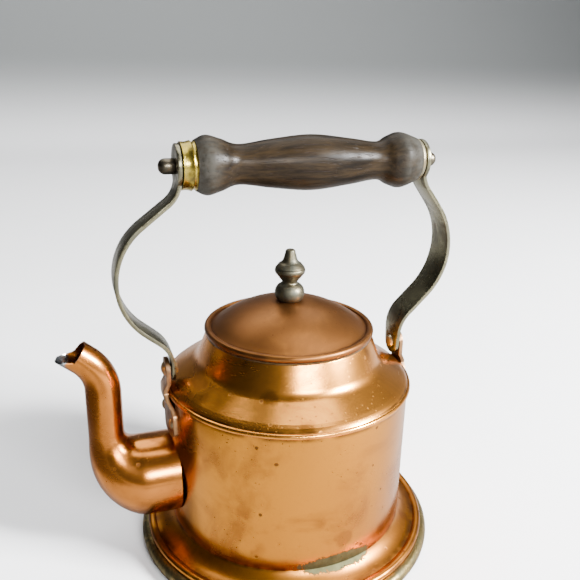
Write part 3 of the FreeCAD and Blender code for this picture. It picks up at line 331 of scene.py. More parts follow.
class Board:
    """A material's node board with short ways to lay out its patterns."""

    def __init__(self, name: str) -> None:
        """Starts an empty board with one shader.

        Args:
            name: the material's name.
        """
        self.stuff = bpy.data.materials.new(name)
        self.stuff.use_nodes = True
        self.tree = self.stuff.node_tree
        self.tree.nodes.clear()
        self.shader = self.node("ShaderNodeBsdfPrincipled")
        sink = self.node("ShaderNodeOutputMaterial")
        self.link(self.shader.outputs["BSDF"], sink.inputs["Surface"])
        self.place = self.node("ShaderNodeTexCoord").outputs["Object"]

    def node(self, kind: str, **settings: object) -> bpy.types.Node:
        """Adds a node with the given settings.

        Args:
            kind: the node's type.
            **settings: its settings.

        Returns:
            The node.
        """
        made = self.tree.nodes.new(kind)
        for name, value in settings.items():
            setattr(made, name, value)
        return made

    def link(self, source: object, target: bpy.types.NodeSocket) -> None:
        """Feeds a socket from another one, or sets it to a value.

        Args:
            source: a socket or a value.
            target: the socket that is fed.
        """
        if isinstance(source, bpy.types.NodeSocket):
            self.tree.links.new(source, target)
        else:
            target.default_value = source

    def stretched(self, stretch: tuple[float, float, float], turn: float = 0.0) -> bpy.types.NodeSocket:
        """Gives the place scaled along each axis and turned about the upright one.

        Args:
            stretch: scale along each axis.
            turn: the turn in radians.

        Returns:
            The place.
        """
        mapping = self.node("ShaderNodeMapping")
        self.link(self.place, mapping.inputs["Vector"])
        mapping.inputs["Scale"].default_value = stretch
        mapping.inputs["Rotation"].default_value = (0.0, 0.0, turn)
        return mapping.outputs["Vector"]

    def noise(self, scale: float, detail: float = 3.0, rough: float = 0.5, distort: float = 0.0,
              place: bpy.types.NodeSocket | None = None) -> bpy.types.NodeSocket:
        """Gives a cloudy pattern between nought and one.

        Args:
            scale: how many clouds to a metre, roughly.
            detail: how many finer layers it has.
            rough: how strong the finer layers are.
            distort: how far the clouds are drawn out.
            place: the place that is read, the object's own if left out.

        Returns:
            The pattern.
        """
        texture = self.node("ShaderNodeTexNoise")
        self.link(place or self.place, texture.inputs["Vector"])
        settings = {"Scale": scale, "Detail": detail, "Roughness": rough, "Distortion": distort}
        for name, value in settings.items():
            texture.inputs[name].default_value = value
        return texture.outputs["Fac"]

    def cells(self, scale: float, spread: float = 1.0) -> bpy.types.NodeSocket:
        """Gives the distance to the nearest of scattered points.

        Args:
            scale: how many points to a metre, roughly.
            spread: how irregular they are.

        Returns:
            The pattern.
        """
        texture = self.node("ShaderNodeTexVoronoi")
        self.link(self.place, texture.inputs["Vector"])
        texture.inputs["Scale"].default_value = scale
        texture.inputs["Randomness"].default_value = spread
        return texture.outputs["Distance"]

    def window(self, value: bpy.types.NodeSocket, low: float, high: float, bottom: float = 0.0,
               top: float = 1.0) -> bpy.types.NodeSocket:
        """Spreads the part of a pattern between low and high smoothly from bottom to top.

        Args:
            value: the pattern.
            low: where the part starts.
            high: where it ends.
            bottom: what low becomes.
            top: what high becomes.

        Returns:
            The new pattern.
        """
        spread = self.node("ShaderNodeMapRange", interpolation_type="SMOOTHSTEP")
        for name, number in (("From Min", low), ("From Max", high), ("To Min", bottom), ("To Max", top)):
            spread.inputs[name].default_value = number
        self.link(value, spread.inputs["Value"])
        return spread.outputs["Result"]

    def sum(self, kind: str, first: object, second: object) -> bpy.types.NodeSocket:
        """Combines two values; kind is the math node's operation.

        Args:
            kind: the operation; a sum or difference is kept from nought to one.
            first: a pattern or a number.
            second: a pattern or a number.

        Returns:
            The combined pattern.
        """
        combined = self.node("ShaderNodeMath", operation=kind, use_clamp=kind in ("ADD", "SUBTRACT"))
        self.link(first, combined.inputs[0])
        self.link(second, combined.inputs[1])
        return combined.outputs[0]

    def blend(self, share: object, first: object, second: object, kind: str = "MIX") -> bpy.types.NodeSocket:
        """Blends two colours by a share; a colour is a socket or three numbers.

        Args:
            share: how much of the second colour.
            first: one colour.
            second: the other.
            kind: the way of blending.

        Returns:
            The colour.
        """
        mixed = self.node("ShaderNodeMix", data_type="RGBA", blend_type=kind, clamp_factor=True)
        self.link(share, mixed.inputs["Factor"])
        for colour, socket in ((first, mixed.inputs[6]), (second, mixed.inputs[7])):
            self.link(colour if isinstance(colour, bpy.types.NodeSocket) else (*colour, 1.0), socket)
        return mixed.outputs[2]

    def near(self, centre: tuple[float, float, float], reach: float,
             stretch: tuple[float, float, float] = (1.0, 1.0, 1.0)) -> bpy.types.NodeSocket:
        """Gives one at a place, falling to nought at a reach from it, both in millimetres.

        Args:
            centre: the place.
            reach: the reach.
            stretch: how far it reaches along each axis, as a share.

        Returns:
            The pattern.
        """
        mapping = self.node("ShaderNodeMapping", vector_type="TEXTURE")
        self.link(self.place, mapping.inputs["Vector"])
        mapping.inputs["Location"].default_value = Vector(centre) * MM
        mapping.inputs["Scale"].default_value = stretch
        length = self.node("ShaderNodeVectorMath", operation="LENGTH")
        self.link(mapping.outputs["Vector"], length.inputs[0])
        return self.window(length.outputs["Value"], 0.0, reach * MM, 1.0, 0.0)

    def along(self, axis: int) -> bpy.types.NodeSocket:
        """Gives one coordinate of the place, in metres.

        Args:
            axis: the axis' number.

        Returns:
            The coordinate.
        """
        parts = self.node("ShaderNodeSeparateXYZ")
        self.link(self.place, parts.inputs[0])
        return parts.outputs[axis]

    def band(self, axis: int, centre: float, half: float) -> bpy.types.NodeSocket:
        """Gives one at a coordinate, falling to nought at half a band's width, in millimetres.

        Args:
            axis: the axis' number.
            centre: the band's middle.
            half: half its width.

        Returns:
            The pattern.
        """
        offset = self.sum("ABSOLUTE", self.sum_free("SUBTRACT", self.along(axis), centre * MM), 0.0)
        return self.window(offset, 0.0, half * MM, 1.0, 0.0)

    def sum_free(self, kind: str, first: object, second: object) -> bpy.types.NodeSocket:
        """Combines two values without clamping the result.

        Args:
            kind: the operation.
            first: a pattern or a number.
            second: a pattern or a number.

        Returns:
            The combined pattern.
        """
        combined = self.node("ShaderNodeMath", operation=kind)
        self.link(first, combined.inputs[0])
        self.link(second, combined.inputs[1])
        return combined.outputs[0]

    def relief(self, layers: list[tuple[bpy.types.NodeSocket, float]]) -> None:
        """Lays bumps over one another; each layer is a pattern and its height in millimetres.

        Args:
            layers: the layers, each with its height.
        """
        normal = None
        for pattern, height in layers:
            bump = self.node("ShaderNodeBump")
            bump.inputs["Strength"].default_value = 1.0
            bump.inputs["Distance"].default_value = height * MM
            self.link(pattern, bump.inputs["Height"])
            if normal is not None:
                self.link(normal, bump.inputs["Normal"])
            normal = bump.outputs["Normal"]
        self.link(normal, self.shader.inputs["Normal"])

    def finish(self, colour: object, rough: object, metal: float) -> bpy.types.Material:
        """Connects colour and roughness and gives the material.

        Args:
            colour: the base colour.
            rough: the roughness.
            metal: one for metal, else nought.

        Returns:
            The material.
        """
        self.link(colour, self.shader.inputs["Base Color"])
        self.link(rough, self.shader.inputs["Roughness"])
        self.shader.inputs["Metallic"].default_value = metal
        return self.stuff


@dataclass(frozen=True)
class Finish:
    """What every finish has."""

    name: str

    def material(self) -> bpy.types.Material:
        """Gives the finish's material, made once."""
        ready = bpy.data.materials.get(self.name)
        return ready or self.mixed(Board(self.name))

    def mixed(self, board: Board) -> bpy.types.Material:
        """Lays out the finish on a board."""
        raise NotImplementedError


@dataclass(frozen=True)
class Copper(Finish):
    """Old polished copper: clouds of brown, dark specks, fine scratches, shallow dents and painted shade
    bands.
    """

    bright: tuple[float, float, float] = (0.62, 0.242, 0.022)
    brown: tuple[float, float, float] = (0.27, 0.088, 0.015)
    # The dark speck colour, also used for the painted shade bands.
    speck: tuple[float, float, float] = (0.09, 0.035, 0.012)
    browned: float = 0.35
    specked: float = 0.5
    gloss: float = 0.17
    dull: float = 0.34
    dents: float = 0.25
    painted_shade_bands: tuple[tuple[float, float], ...] = ()
    solder_spot: tuple[float, float, float] | None = None
    tinned_spot: tuple[float, float, float] | None = None

    def mixed(self, board: Board) -> bpy.types.Material:
        """Lays out clouds, specks, painted shade bands and solder.

        Args:
            board: the board to lay them out on.

        Returns:
            The material.
        """
        clouds = board.window(board.noise(38.0, 5.0, 0.62, 0.6), 0.62 - self.browned * 0.5,
                              0.86 - self.browned * 0.3)
        specks = self.specks(board)
        colour = self.browning(board, clouds)
        colour = board.blend(board.sum("MULTIPLY", specks, 0.85), colour, self.speck)
        # Painted shade: ragged dark bands in the speck colour at the given heights, along creases and under
        # beads.
        for centre, half in self.painted_shade_bands:
            ragged = board.window(board.noise(140.0, 3.0), 0.3, 0.62)
            band = board.sum("MULTIPLY", board.band(2, centre, half), ragged)
            colour = board.blend(board.sum("MULTIPLY", band, 0.8), colour, self.speck)
        scratches = board.window(board.noise(260.0, 3.0, 0.7, 0.0, board.stretched((1.0, 1.0, 14.0))),
                                 0.5, 0.75)
        rough = board.window(board.sum("ADD", clouds, board.sum("MULTIPLY", scratches, 0.3)), 0.0, 1.3,
                             self.gloss, self.dull)
        rough = board.sum("ADD", rough, board.sum("MULTIPLY", specks, 0.3))
        if self.solder_spot:
            colour, rough = self.soldered(board, colour, rough)
        if self.tinned_spot:
            colour = self.tinned(board, colour)
        board.relief([
            (board.noise(26.0, 2.0, 0.4), self.dents * 2.0),
            (board.noise(90.0, 2.0, 0.5), self.dents * 0.25),
            (specks, -0.03),
            (scratches, 0.004),
        ])
        return board.finish(colour, rough, 1.0)

    def browning(self, board: Board, clouds: bpy.types.NodeSocket) -> bpy.types.NodeSocket:
        """Browns the bright metal with a thin film, clouds, soft stains and fine grain.

        Args:
            board: the board to lay them out on.
            clouds: the pattern of the clouds.

        Returns:
            The colour.
        """
        film = board.window(board.noise(14.0, 2.0, 0.5), 0.35, 0.75)
        colour = board.blend(board.sum("MULTIPLY", film, 0.35), self.bright, self.brown)
        colour = board.blend(board.sum("MULTIPLY", clouds, 0.75), colour, self.brown)
        ragged = board.sum_free("MULTIPLY", board.noise(150.0, 4.0, 0.6), 0.5)
        stains = board.window(board.sum_free("ADD", board.cells(62.0), ragged), 0.40, 0.56, 1.0, 0.0)
        stains = board.sum("MULTIPLY", stains, board.window(board.noise(21.0, 2.0), 0.44, 0.56))
        colour = board.blend(board.sum("MULTIPLY", stains, 0.62), colour, self.brown)
        grain = board.noise(900.0, 2.0, 0.6)
        return board.blend(board.window(grain, 0.55, 0.8, 0.0, 0.25), colour, self.brown)

    def specks(self, board: Board) -> bpy.types.NodeSocket:
        """Scatters dark specks, some large and many fine.

        Args:
            board: the board to lay them out on.

        Returns:
            The pattern, one on a speck.
        """
        edge = board.sum("MULTIPLY", board.noise(600.0, 3.0, 0.7), 0.14)
        low = 0.68 - self.specked * 0.2
        large = board.window(board.sum_free("ADD", board.cells(120.0), edge), 0.13, 0.2, 1.0, 0.0)
        large = board.sum("MULTIPLY", large, board.window(board.noise(24.0, 2.0), low, low + 0.04))
        fine = board.window(board.sum_free("ADD", board.cells(420.0), edge), 0.16, 0.26, 1.0, 0.0)
        fine = board.sum("MULTIPLY", fine, board.window(board.noise(48.0, 3.0), low - 0.02, 0.72))
        return board.sum("MAXIMUM", large, fine)

    def soldered(self, board: Board, colour: bpy.types.NodeSocket,
                 rough: bpy.types.NodeSocket) -> tuple[bpy.types.NodeSocket, bpy.types.NodeSocket]:
        """Lays a ragged patch of grey solder over the copper.

        Args:
            board: the board to lay it out on.
            colour: the copper's colour.
            rough: the copper's roughness.

        Returns:
            Colour and roughness with the patch on them.
        """
        patch = board.near(self.solder_spot, 38.0, (1.0, 0.30, 0.17))
        frayed = board.window(board.noise(170.0, 6.0, 0.8, 1.2), 0.25, 0.75, 0.0, 0.50)
        ragged = board.sum("ADD", patch, frayed)
        edge = board.window(ragged, 0.60, 0.66)
        inside = board.window(ragged, 0.68, 0.76)
        grey = board.blend(board.noise(300.0, 4.0, 0.7), (0.028, 0.028, 0.012), (0.13, 0.125, 0.062))
        colour = board.blend(edge, colour, (0.10, 0.050, 0.018))
        colour = board.blend(inside, colour, grey)
        return colour, board.sum("ADD", rough, board.sum("MULTIPLY", edge, 0.35))

    def tinned(self, board: Board, colour: bpy.types.NodeSocket) -> bpy.types.NodeSocket:
        """Lays a small bright spot of tin over the copper.

        Args:
            board: the board to lay it out on.
            colour: the copper's colour.

        Returns:
            The colour with the spot on it.
        """
        frayed = board.window(board.noise(260.0, 3.0), 0.2, 0.8, 0.0, 0.3)
        tin = board.sum("ADD", board.near(self.tinned_spot, 9.0), frayed)
        return board.blend(board.window(tin, 0.42, 0.62), colour, (0.34, 0.355, 0.37))


@dataclass(frozen=True)
class OldBrass(Finish):
    """Tarnished brass: olive-grey film, brown hollows and brighter rubbed places."""

    clean: tuple[float, float, float] = (0.50, 0.42, 0.24)
    film: tuple[float, float, float] = (0.21, 0.19, 0.13)
    brown: tuple[float, float, float] = (0.10, 0.06, 0.03)
    filmed: float = 0.5
    gloss: float = 0.3
    dull: float = 0.55
    scale: float = 1.0
    pitted: float = 0.5

    def mixed(self, board: Board) -> bpy.types.Material:
        """Lays out film, stains and pits on a board and gives the material.

        Args:
            board: the board.

        Returns:
            The material.
        """
        film = board.window(board.noise(70.0 * self.scale, 5.0, 0.65, 0.5), 0.62 - self.filmed * 0.4,
                            0.80 - self.filmed * 0.3)
        colour = board.blend(film, self.clean, self.film)
        stains = board.window(board.noise(160.0 * self.scale, 4.0, 0.7, 0.4), 0.58, 0.74)
        colour = board.blend(board.sum("MULTIPLY", stains, 0.7), colour, self.brown)
        pits = board.window(board.cells(900.0 * self.scale), 0.10, 0.28, 1.0, 0.0)
        pits = board.sum("MULTIPLY", pits, board.window(board.noise(120.0 * self.scale, 2.0), 0.45, 0.65))
        colour = board.blend(board.sum("MULTIPLY", pits, self.pitted), colour, self.brown)
        wire_marks = board.window(board.noise(420.0, 3.0, 0.6), 0.4, 0.7)
        rough = board.window(board.sum("ADD", film, board.sum("MULTIPLY", wire_marks, 0.3)), 0.0, 1.3,
                             self.gloss, self.dull)
        board.relief([(board.noise(110.0 * self.scale, 3.0, 0.6), 0.18), (pits, -0.06 * self.pitted),
                      (wire_marks, 0.008)])
        return board.finish(colour, rough, 1.0)


@dataclass(frozen=True)
class Steel(Finish):
    """Plain drawn steel with a little rust."""

    def mixed(self, board: Board) -> bpy.types.Material:
        """Lays out rust on steel and gives the material.

        Args:
            board: the board.

        Returns:
            The material.
        """
        rust = board.window(board.noise(220.0, 4.0, 0.7), 0.5, 0.7)
        colour = board.blend(rust, (0.36, 0.35, 0.33), (0.15, 0.07, 0.035))
        rough = board.window(rust, 0.0, 1.0, 0.35, 0.75)
        board.relief([(board.noise(600.0, 3.0), 0.03)])
        return board.finish(colour, rough, 1.0)


@dataclass(frozen=True)
class Wood(Finish):
    """Dark varnished wood with its grain along the grip and greyed, worn ends."""

    dark: tuple[float, float, float] = (0.0040, 0.0030, 0.0020)
    warm: tuple[float, float, float] = (0.018, 0.0115, 0.0055)
    worn: tuple[float, float, float] = (0.035, 0.034, 0.029)
    ends: tuple[float, float] = (-33.0, 51.0)
    sheen: float = 0.06

    def mixed(self, board: Board) -> bpy.types.Material:
        """Lays out grain, pores and wear.

        Args:
            board: the board to lay them out on.

        Returns:
            The material.
        """
        lengthwise = board.stretched((0.09, 1.0, 1.0))
        figure = board.noise(330.0, 5.0, 0.7, 0.5, lengthwise)
        streaks = board.noise(900.0, 3.0, 0.65, 0.2, board.stretched((0.05, 1.0, 1.0)))
        fibres = board.stretched((0.04, 1.0, 1.0))
        pores = board.window(board.noise(1500.0, 2.0, 0.6, 0.0, fibres), 0.60, 0.70)
        colour = board.blend(board.window(figure, 0.30, 0.72), self.dark, self.warm)
        colour = board.blend(board.window(streaks, 0.45, 0.75, 0.0, 0.55), colour, self.dark)
        front = board.window(board.along(0), (self.ends[0] - 7) * MM, (self.ends[0] + 4) * MM, 1.0, 0.0)
        rear = board.window(board.along(0), (self.ends[1] - 9) * MM, (self.ends[1] + 2) * MM)
        wear = board.sum("MULTIPLY", board.sum("MAXIMUM", front, rear),
                         board.window(board.noise(130.0, 4.0, 0.7), 0.32, 0.62, 0.25, 1.0))
        colour = board.blend(board.sum("MULTIPLY", wear, 0.75), colour, self.worn)
        colour = board.blend(board.sum("MULTIPLY", pores, 0.6), colour, (0.008, 0.004, 0.003))
        rough = board.sum("ADD", board.window(board.noise(70.0, 3.0), 0.3, 0.7, 0.28, 0.42),
                          board.sum("MULTIPLY", wear, 0.22))
        board.shader.inputs["Specular IOR Level"].default_value = self.sheen
        board.relief([(board.noise(60.0, 2.0), 0.35), (streaks, 0.05), (pores, -0.06)])
        return board.finish(colour, rough, 0.0)


@dataclass
class Vessel:
    """Drum, foot, base, shoulder and mouth ring; sizes in millimetres."""

    drum_radius: float = 55.5
    gauge: float = 1.0
    seam: float = 80.0
    drum_low: float = 14.5
    drum_top: float = 79.6
    spout_hole: float = 15.0
    spout_height: float = 38.5
    neck_radius: float = 37.6
    neck_rise: float = 21.6
    solder: tuple[float, float, float] = (7.5, -55.3, 15.8)

    def build(self) -> None:
        """Builds and dresses the vessel's pieces."""
        self.drum()
        self.skirt()
        self.pan()
        self.shoulder()
        Workshop.dress("mouth_ring", OldBrass("mouth ring brass", clean=(0.17, 0.10, 0.045),
                                              film=(0.07, 0.045, 0.022)))
        Workshop.dress("base_wire", Steel("drawn wire"))

    def drum(self) -> None:
        """Turns the drum's wall and cuts the spout's hole in it."""
        inner = self.drum_radius - self.gauge
        wall = Profile().to(inner, self.drum_low).to(self.drum_radius, self.drum_low, 0.2)
        flats = 20
        for number in range(1, flats):
            wall.to(self.drum_radius, self.drum_low + (self.drum_top - self.drum_low) * number / flats)
        wall.to(self.drum_radius, self.drum_top, 0.2).to(inner, self.drum_top)
        piece = Workshop.turned("drum_wall", wall, steps=192)
        bpy.ops.object.select_all(action="DESELECT")
        bpy.ops.mesh.primitive_cylinder_add(vertices=64, radius=self.spout_hole * MM, depth=60 * MM,
                                            location=(-self.drum_radius * MM, 0, self.spout_height * MM),
                                            rotation=(0, math.pi / 2, 0))
        cutter = bpy.context.object
        Workshop.apply_modifier(piece, "BOOLEAN", object=cutter, operation="DIFFERENCE", solver="EXACT")
        bpy.data.objects.remove(cutter)
        # Painted shade: dark bands just above the joint with the foot and under the shoulder's bead.
        Workshop.fit(piece, Body.KETTLE, "body_drum",
                     Copper("drum copper", browned=0.34, specked=1.0, gloss=0.20, dull=0.32,
                            painted_shade_bands=((15.0, 2.4), (78.0, 2.2)), solder_spot=self.solder))

    def skirt(self) -> None:
        """Turns the foot's flare with its rolled edge."""
        flare = Profile().to(self.drum_radius, self.drum_low).arc(63.5, 9.17, 12.0, left=True, step=4)
        flare.arc(65.5, 9.85, 2.72).arc(67.2, 8.15, 1.7).arc(65.5, 6.45, 1.7).to(63.6, 6.45)
        flare.to(63.6, 1.2).to(62.6, 1.2).to(62.6, 8.17).arc(54.0, 13.5, 12.0)
        flare.to(54.0, 18.5).to(54.5, 18.5).to(54.5, self.drum_low)
        # Painted shade: dark bands in the crease above the rolled edge and at the joint with the drum.
        Workshop.fit(Workshop.turned("foot_flare", flare, steps=192), Body.KETTLE, "foot_skirt",
                     Copper("foot copper", bright=(0.60, 0.225, 0.024), browned=0.45, specked=0.8, gloss=0.29,
                            painted_shade_bands=((9.2, 0.9), (14.6, 1.2)), solder_spot=self.solder))

    def pan(self) -> None:
        """Turns the base with its wired edge and shallow rings underneath."""
        base = Profile().to(0, 0).to(20, 0).to(20.6, 0.12).to(21.2, 0).to(44, 0).to(44.6, 0.12).to(45.2, 0)
        base.to(66.9, 0).arc(70.2, 3.3, 3.3, left=True).arc(66.9, 6.6, 3.3, left=True)
        base.arc(63.6, 3.3, 3.3, left=True).to(63.6, 1.2).to(0, 1.2)
        Workshop.fit(Workshop.turned("base_with_wired_edge", base, closed=False, steps=192), Body.KETTLE,
                     "base_pan", OldBrass("base brass", clean=(0.26, 0.19, 0.07), film=(0.085, 0.072, 0.035),
                                          filmed=0.62, scale=1.6, pitted=0.8))

    def shoulder(self) -> None:
        """Turns the shoulder and neck with the bead over the drum's top."""
        seam, inner = self.seam, self.gauge
        neck_top = seam + self.neck_rise
        form = Profile().to(self.neck_radius, neck_top, 0.3).to(42.3, seam + 9.6, 8.0)
        form.to(52.7, seam + 3.1, 4.0).to(54.0, seam + 2.15, 1.0).arc(55.5, seam + 0.6, 7.0)
        form.arc(56.7, seam - 0.6, 1.2)
        form.arc(55.5, seam - 1.8, 1.2).to(55.5, self.drum_top).to(54.5, self.drum_top)
        form.to(51.7, seam + 2.35, 3.0).to(41.3, seam + 8.85, 9.0)
        form.to(self.neck_radius - inner, neck_top - 0.75).to(self.neck_radius - inner, neck_top)
        # Painted shade: a thin dark band in the crease above the bead.
        Workshop.fit(Workshop.turned("shoulder_and_neck", form, steps=192), Body.KETTLE, "shoulder",
                     Copper("shoulder copper", bright=(0.84, 0.335, 0.050), browned=0.45, specked=0.9,
                            gloss=0.22, painted_shade_bands=((81.0, 0.5),)))


@dataclass
class Spout:
    """The swan-neck spout, drawn out ring by ring; sizes in millimetres."""

    drum_radius: float = 55.5
    height: float = 38.5
    root: float = 17.35
    riser: float = 6.65
    mouth: float = 5.8
    wall: float = 0.9
    root_length: float = 13.5
    elbow: float = 7.8
    riser_length: float = 19.5
    lip_bend: float = 20.0
    lip_angle: float = 50.0
    mouth_length: float = 4.0
    lip_length: float = 4.85
    lip_raggedness: float = 0.18
    lip_steps: int = 8
    sides: int = 72

    def rings(self) -> list[tuple[float, float, float, float]]:
        """Gives each ring's x, z, heading above -X in degrees, and radius."""
        start, elbow_x = -self.drum_radius * 0.97, -self.drum_radius - self.root_length
        elbow_z = self.height + self.root + self.elbow
        found = [(start + (elbow_x - start) * share, self.height, 0.0, self.root)
                 for share in (0.0, 0.3, 0.6, 0.85)]
        for angle in range(0, 91, 5):
            turn = math.radians(angle)
            radius = self.riser + (self.root - self.riser) * (1 - math.sin(turn) ** 1.3)
            reach = self.elbow + radius
            found.append((elbow_x - reach * math.sin(turn), elbow_z - reach * math.cos(turn), float(angle),
                          radius))
        riser_x, riser_top = elbow_x - self.elbow - self.riser, elbow_z + self.riser_length
        found += [(riser_x, elbow_z + self.riser_length * share, 90.0, self.riser)
                  for share in (0.2, 0.4, 0.6, 0.8, 1)]
        for step in range(1, self.lip_steps + 1):
            share = step / self.lip_steps
            turn = math.radians(self.lip_angle * share)
            found.append((riser_x - self.lip_bend * (1 - math.cos(turn)),
                          riser_top + self.lip_bend * math.sin(turn),
                          90 - self.lip_angle * share, self.riser + (self.mouth - self.riser) * share))
        x, z, heading, radius = found[-1]
        turn = math.radians(heading)
        for length in (self.mouth_length * 0.5, self.mouth_length):
            found.append((x - length * math.cos(turn), z + length * math.sin(turn), heading, radius))
        return found

    def build(self) -> None:
        """Draws the tube out ring by ring, beats out its lip and gives it its wall."""
        rings = self.rings()
        bpy.ops.object.select_all(action="DESELECT")
        bpy.ops.mesh.primitive_circle_add(vertices=self.sides, radius=rings[0][3] * MM, fill_type="NOTHING")
        piece = bpy.context.object
        piece.name = piece.data.name = "swan_neck"
        bpy.ops.object.mode_set(mode="EDIT")
        bpy.context.tool_settings.mesh_select_mode = (True, False, False)
        bpy.ops.mesh.select_all(action="SELECT")
        self.turn_ring(90.0, Vector())
        self.move_ring(Vector((rings[0][0], 0, rings[0][1])) * MM)
        for before, after in zip(rings, rings[1:]):
            bpy.ops.mesh.extrude_region_move(TRANSFORM_OT_translate={"value": (0, 0, 0)})
            here = Vector((before[0], 0, before[1])) * MM
            scale = after[3] / before[3]
            bpy.ops.transform.resize(value=(scale, scale, scale), center_override=here)
            self.turn_ring(before[2] - after[2], here)
            self.move_ring(Vector((after[0], 0, after[1])) * MM - here)
        self.draw_lip(piece, rings[-1])
        bpy.ops.mesh.select_all(action="SELECT")
        bpy.ops.mesh.normals_make_consistent(inside=False)
        bpy.ops.object.mode_set(mode="OBJECT")
        Workshop.apply_modifier(piece, "SOLIDIFY", thickness=self.wall * MM, offset=-1.0)
        self.saddle(piece)
        bpy.ops.object.shade_smooth_by_angle(angle=math.radians(45))
        Workshop.fit(piece, Body.KETTLE, "spout",
                     Copper("spout copper", bright=(0.58, 0.205, 0.036), browned=0.5, specked=0.8, gloss=0.19,
                            dull=0.34, dents=0.3, tinned_spot=(-99.5, 0.0, 100.0)))

    @staticmethod
    def turn_ring(angle: float, centre: Vector) -> None:
        """Turns the chosen ring about the level axis across the spout.

        Args:
            angle: the turn in degrees.
            centre: what it turns about.
        """
        if abs(angle) > 1e-6:
            bpy.ops.transform.rotate(value=math.radians(angle), orient_axis="Y", orient_type="GLOBAL",
                                     center_override=centre)

    @staticmethod
    def move_ring(step: Vector) -> None:
        """Moves the chosen vertices."""
        bpy.ops.transform.translate(value=step)

    def draw_lip(self, piece: bpy.types.Object, ring: tuple[float, float, float, float]) -> None:
        """Draws the mouth's lower edge out into a ragged pouring lip.

        Args:
            piece: the tube, in edit mode.
            ring: the mouth's ring.
        """
        x, z, heading, radius = ring
        turn = math.radians(heading)
        ahead = Vector((-math.cos(turn), 0, math.sin(turn)))
        above = Vector((math.sin(turn), 0, math.cos(turn)))
        centre = Vector((x, 0, z)) * MM
        chance = Random(7)
        bpy.ops.object.mode_set(mode="OBJECT")
        edge = [v.index for v in piece.data.vertices
                if abs((v.co - centre).dot(ahead)) < 0.05 * MM and (v.co - centre).length < radius * 1.1 * MM]
        for index in edge:
            side = (piece.data.vertices[index].co - centre).dot(above) / (radius * MM)
            share = min(max((-side - 0.05) / 0.90, 0.0), 1.0)
            length = self.lip_length * share * share * (2.2 - 1.2 * share)
            length += chance.uniform(-self.lip_raggedness, self.lip_raggedness) - 0.5 * (1 - share)
            self.move_corner(piece, index, ahead * length * MM)
        bpy.ops.object.mode_set(mode="EDIT")

    @classmethod
    def move_corner(cls, piece: bpy.types.Object, index: int, step: Vector) -> None:
        """Moves one vertex of the piece, which is in object mode and stays so.

        Args:
            piece: the piece.
            index: the vertex's number.
            step: how far it moves.
        """
        bpy.ops.object.mode_set(mode="EDIT")
        bpy.ops.mesh.select_all(action="DESELECT")
        bpy.ops.object.mode_set(mode="OBJECT")
        piece.data.vertices[index].select = True
        bpy.ops.object.mode_set(mode="EDIT")
        cls.move_ring(step)
        bpy.ops.object.mode_set(mode="OBJECT")

    def saddle(self, piece: bpy.types.Object) -> None:
        """Cuts the spout's root to the drum's curve.

        Args:
            piece: the tube, in object mode.
        """
        bpy.ops.object.select_all(action="DESELECT")
        bpy.ops.mesh.primitive_cylinder_add(vertices=256, radius=(self.drum_radius - 0.05) * MM,
                                            depth=70 * MM, location=(0, 0, self.height * MM))
        cutter = bpy.context.object
        Workshop.apply_modifier(piece, "BOOLEAN", object=cutter, operation="DIFFERENCE", solver="EXACT")
        bpy.data.objects.remove(cutter)


@dataclass
class Ears:
    """The riveted ears and the rivets."""

    def build(self) -> None:
        """Dresses ears and rivets."""
        sheet = OldBrass("ear brass", clean=(0.34, 0.18, 0.08), film=(0.14, 0.08, 0.042), filmed=0.6)
        rivet = OldBrass("rivet brass", clean=(0.55, 0.42, 0.24), filmed=0.45, scale=2.0)
        for node in ("ear_front", "ear_rear"):
            Workshop.dress(node, sheet, 0.3)
        for node in ("ear_rivets_front", "ear_rivets_rear", "pivot_rivet_front", "pivot_rivet_rear"):
            Workshop.dress(node, rivet, 0.15)


@dataclass
class Bail:
    """The two straps with rod, washer and nuts."""

    def build(self) -> None:
        """Dresses the bail's pieces."""
        strap = OldBrass("strap brass", clean=(0.20, 0.185, 0.115), film=(0.10, 0.097, 0.068), filmed=0.5,
                         gloss=0.24, dull=0.48, pitted=0.4)
        nut = OldBrass("nut brass", clean=(0.12, 0.10, 0.07), film=(0.06, 0.055, 0.04), filmed=0.6, scale=2.0)
        washer = OldBrass("washer brass", clean=(0.30, 0.23, 0.12), filmed=0.55, scale=1.5)
        for node in ("strap_front", "strap_rear"):
            Workshop.dress(node, strap, 0.3)
        for node in ("cap_nut_front", "cap_nut_rear"):
            Workshop.dress(node, nut)
        Workshop.dress("rear_washer", washer, 0.2)
        Workshop.dress("handle_rod", Steel("rod steel"))


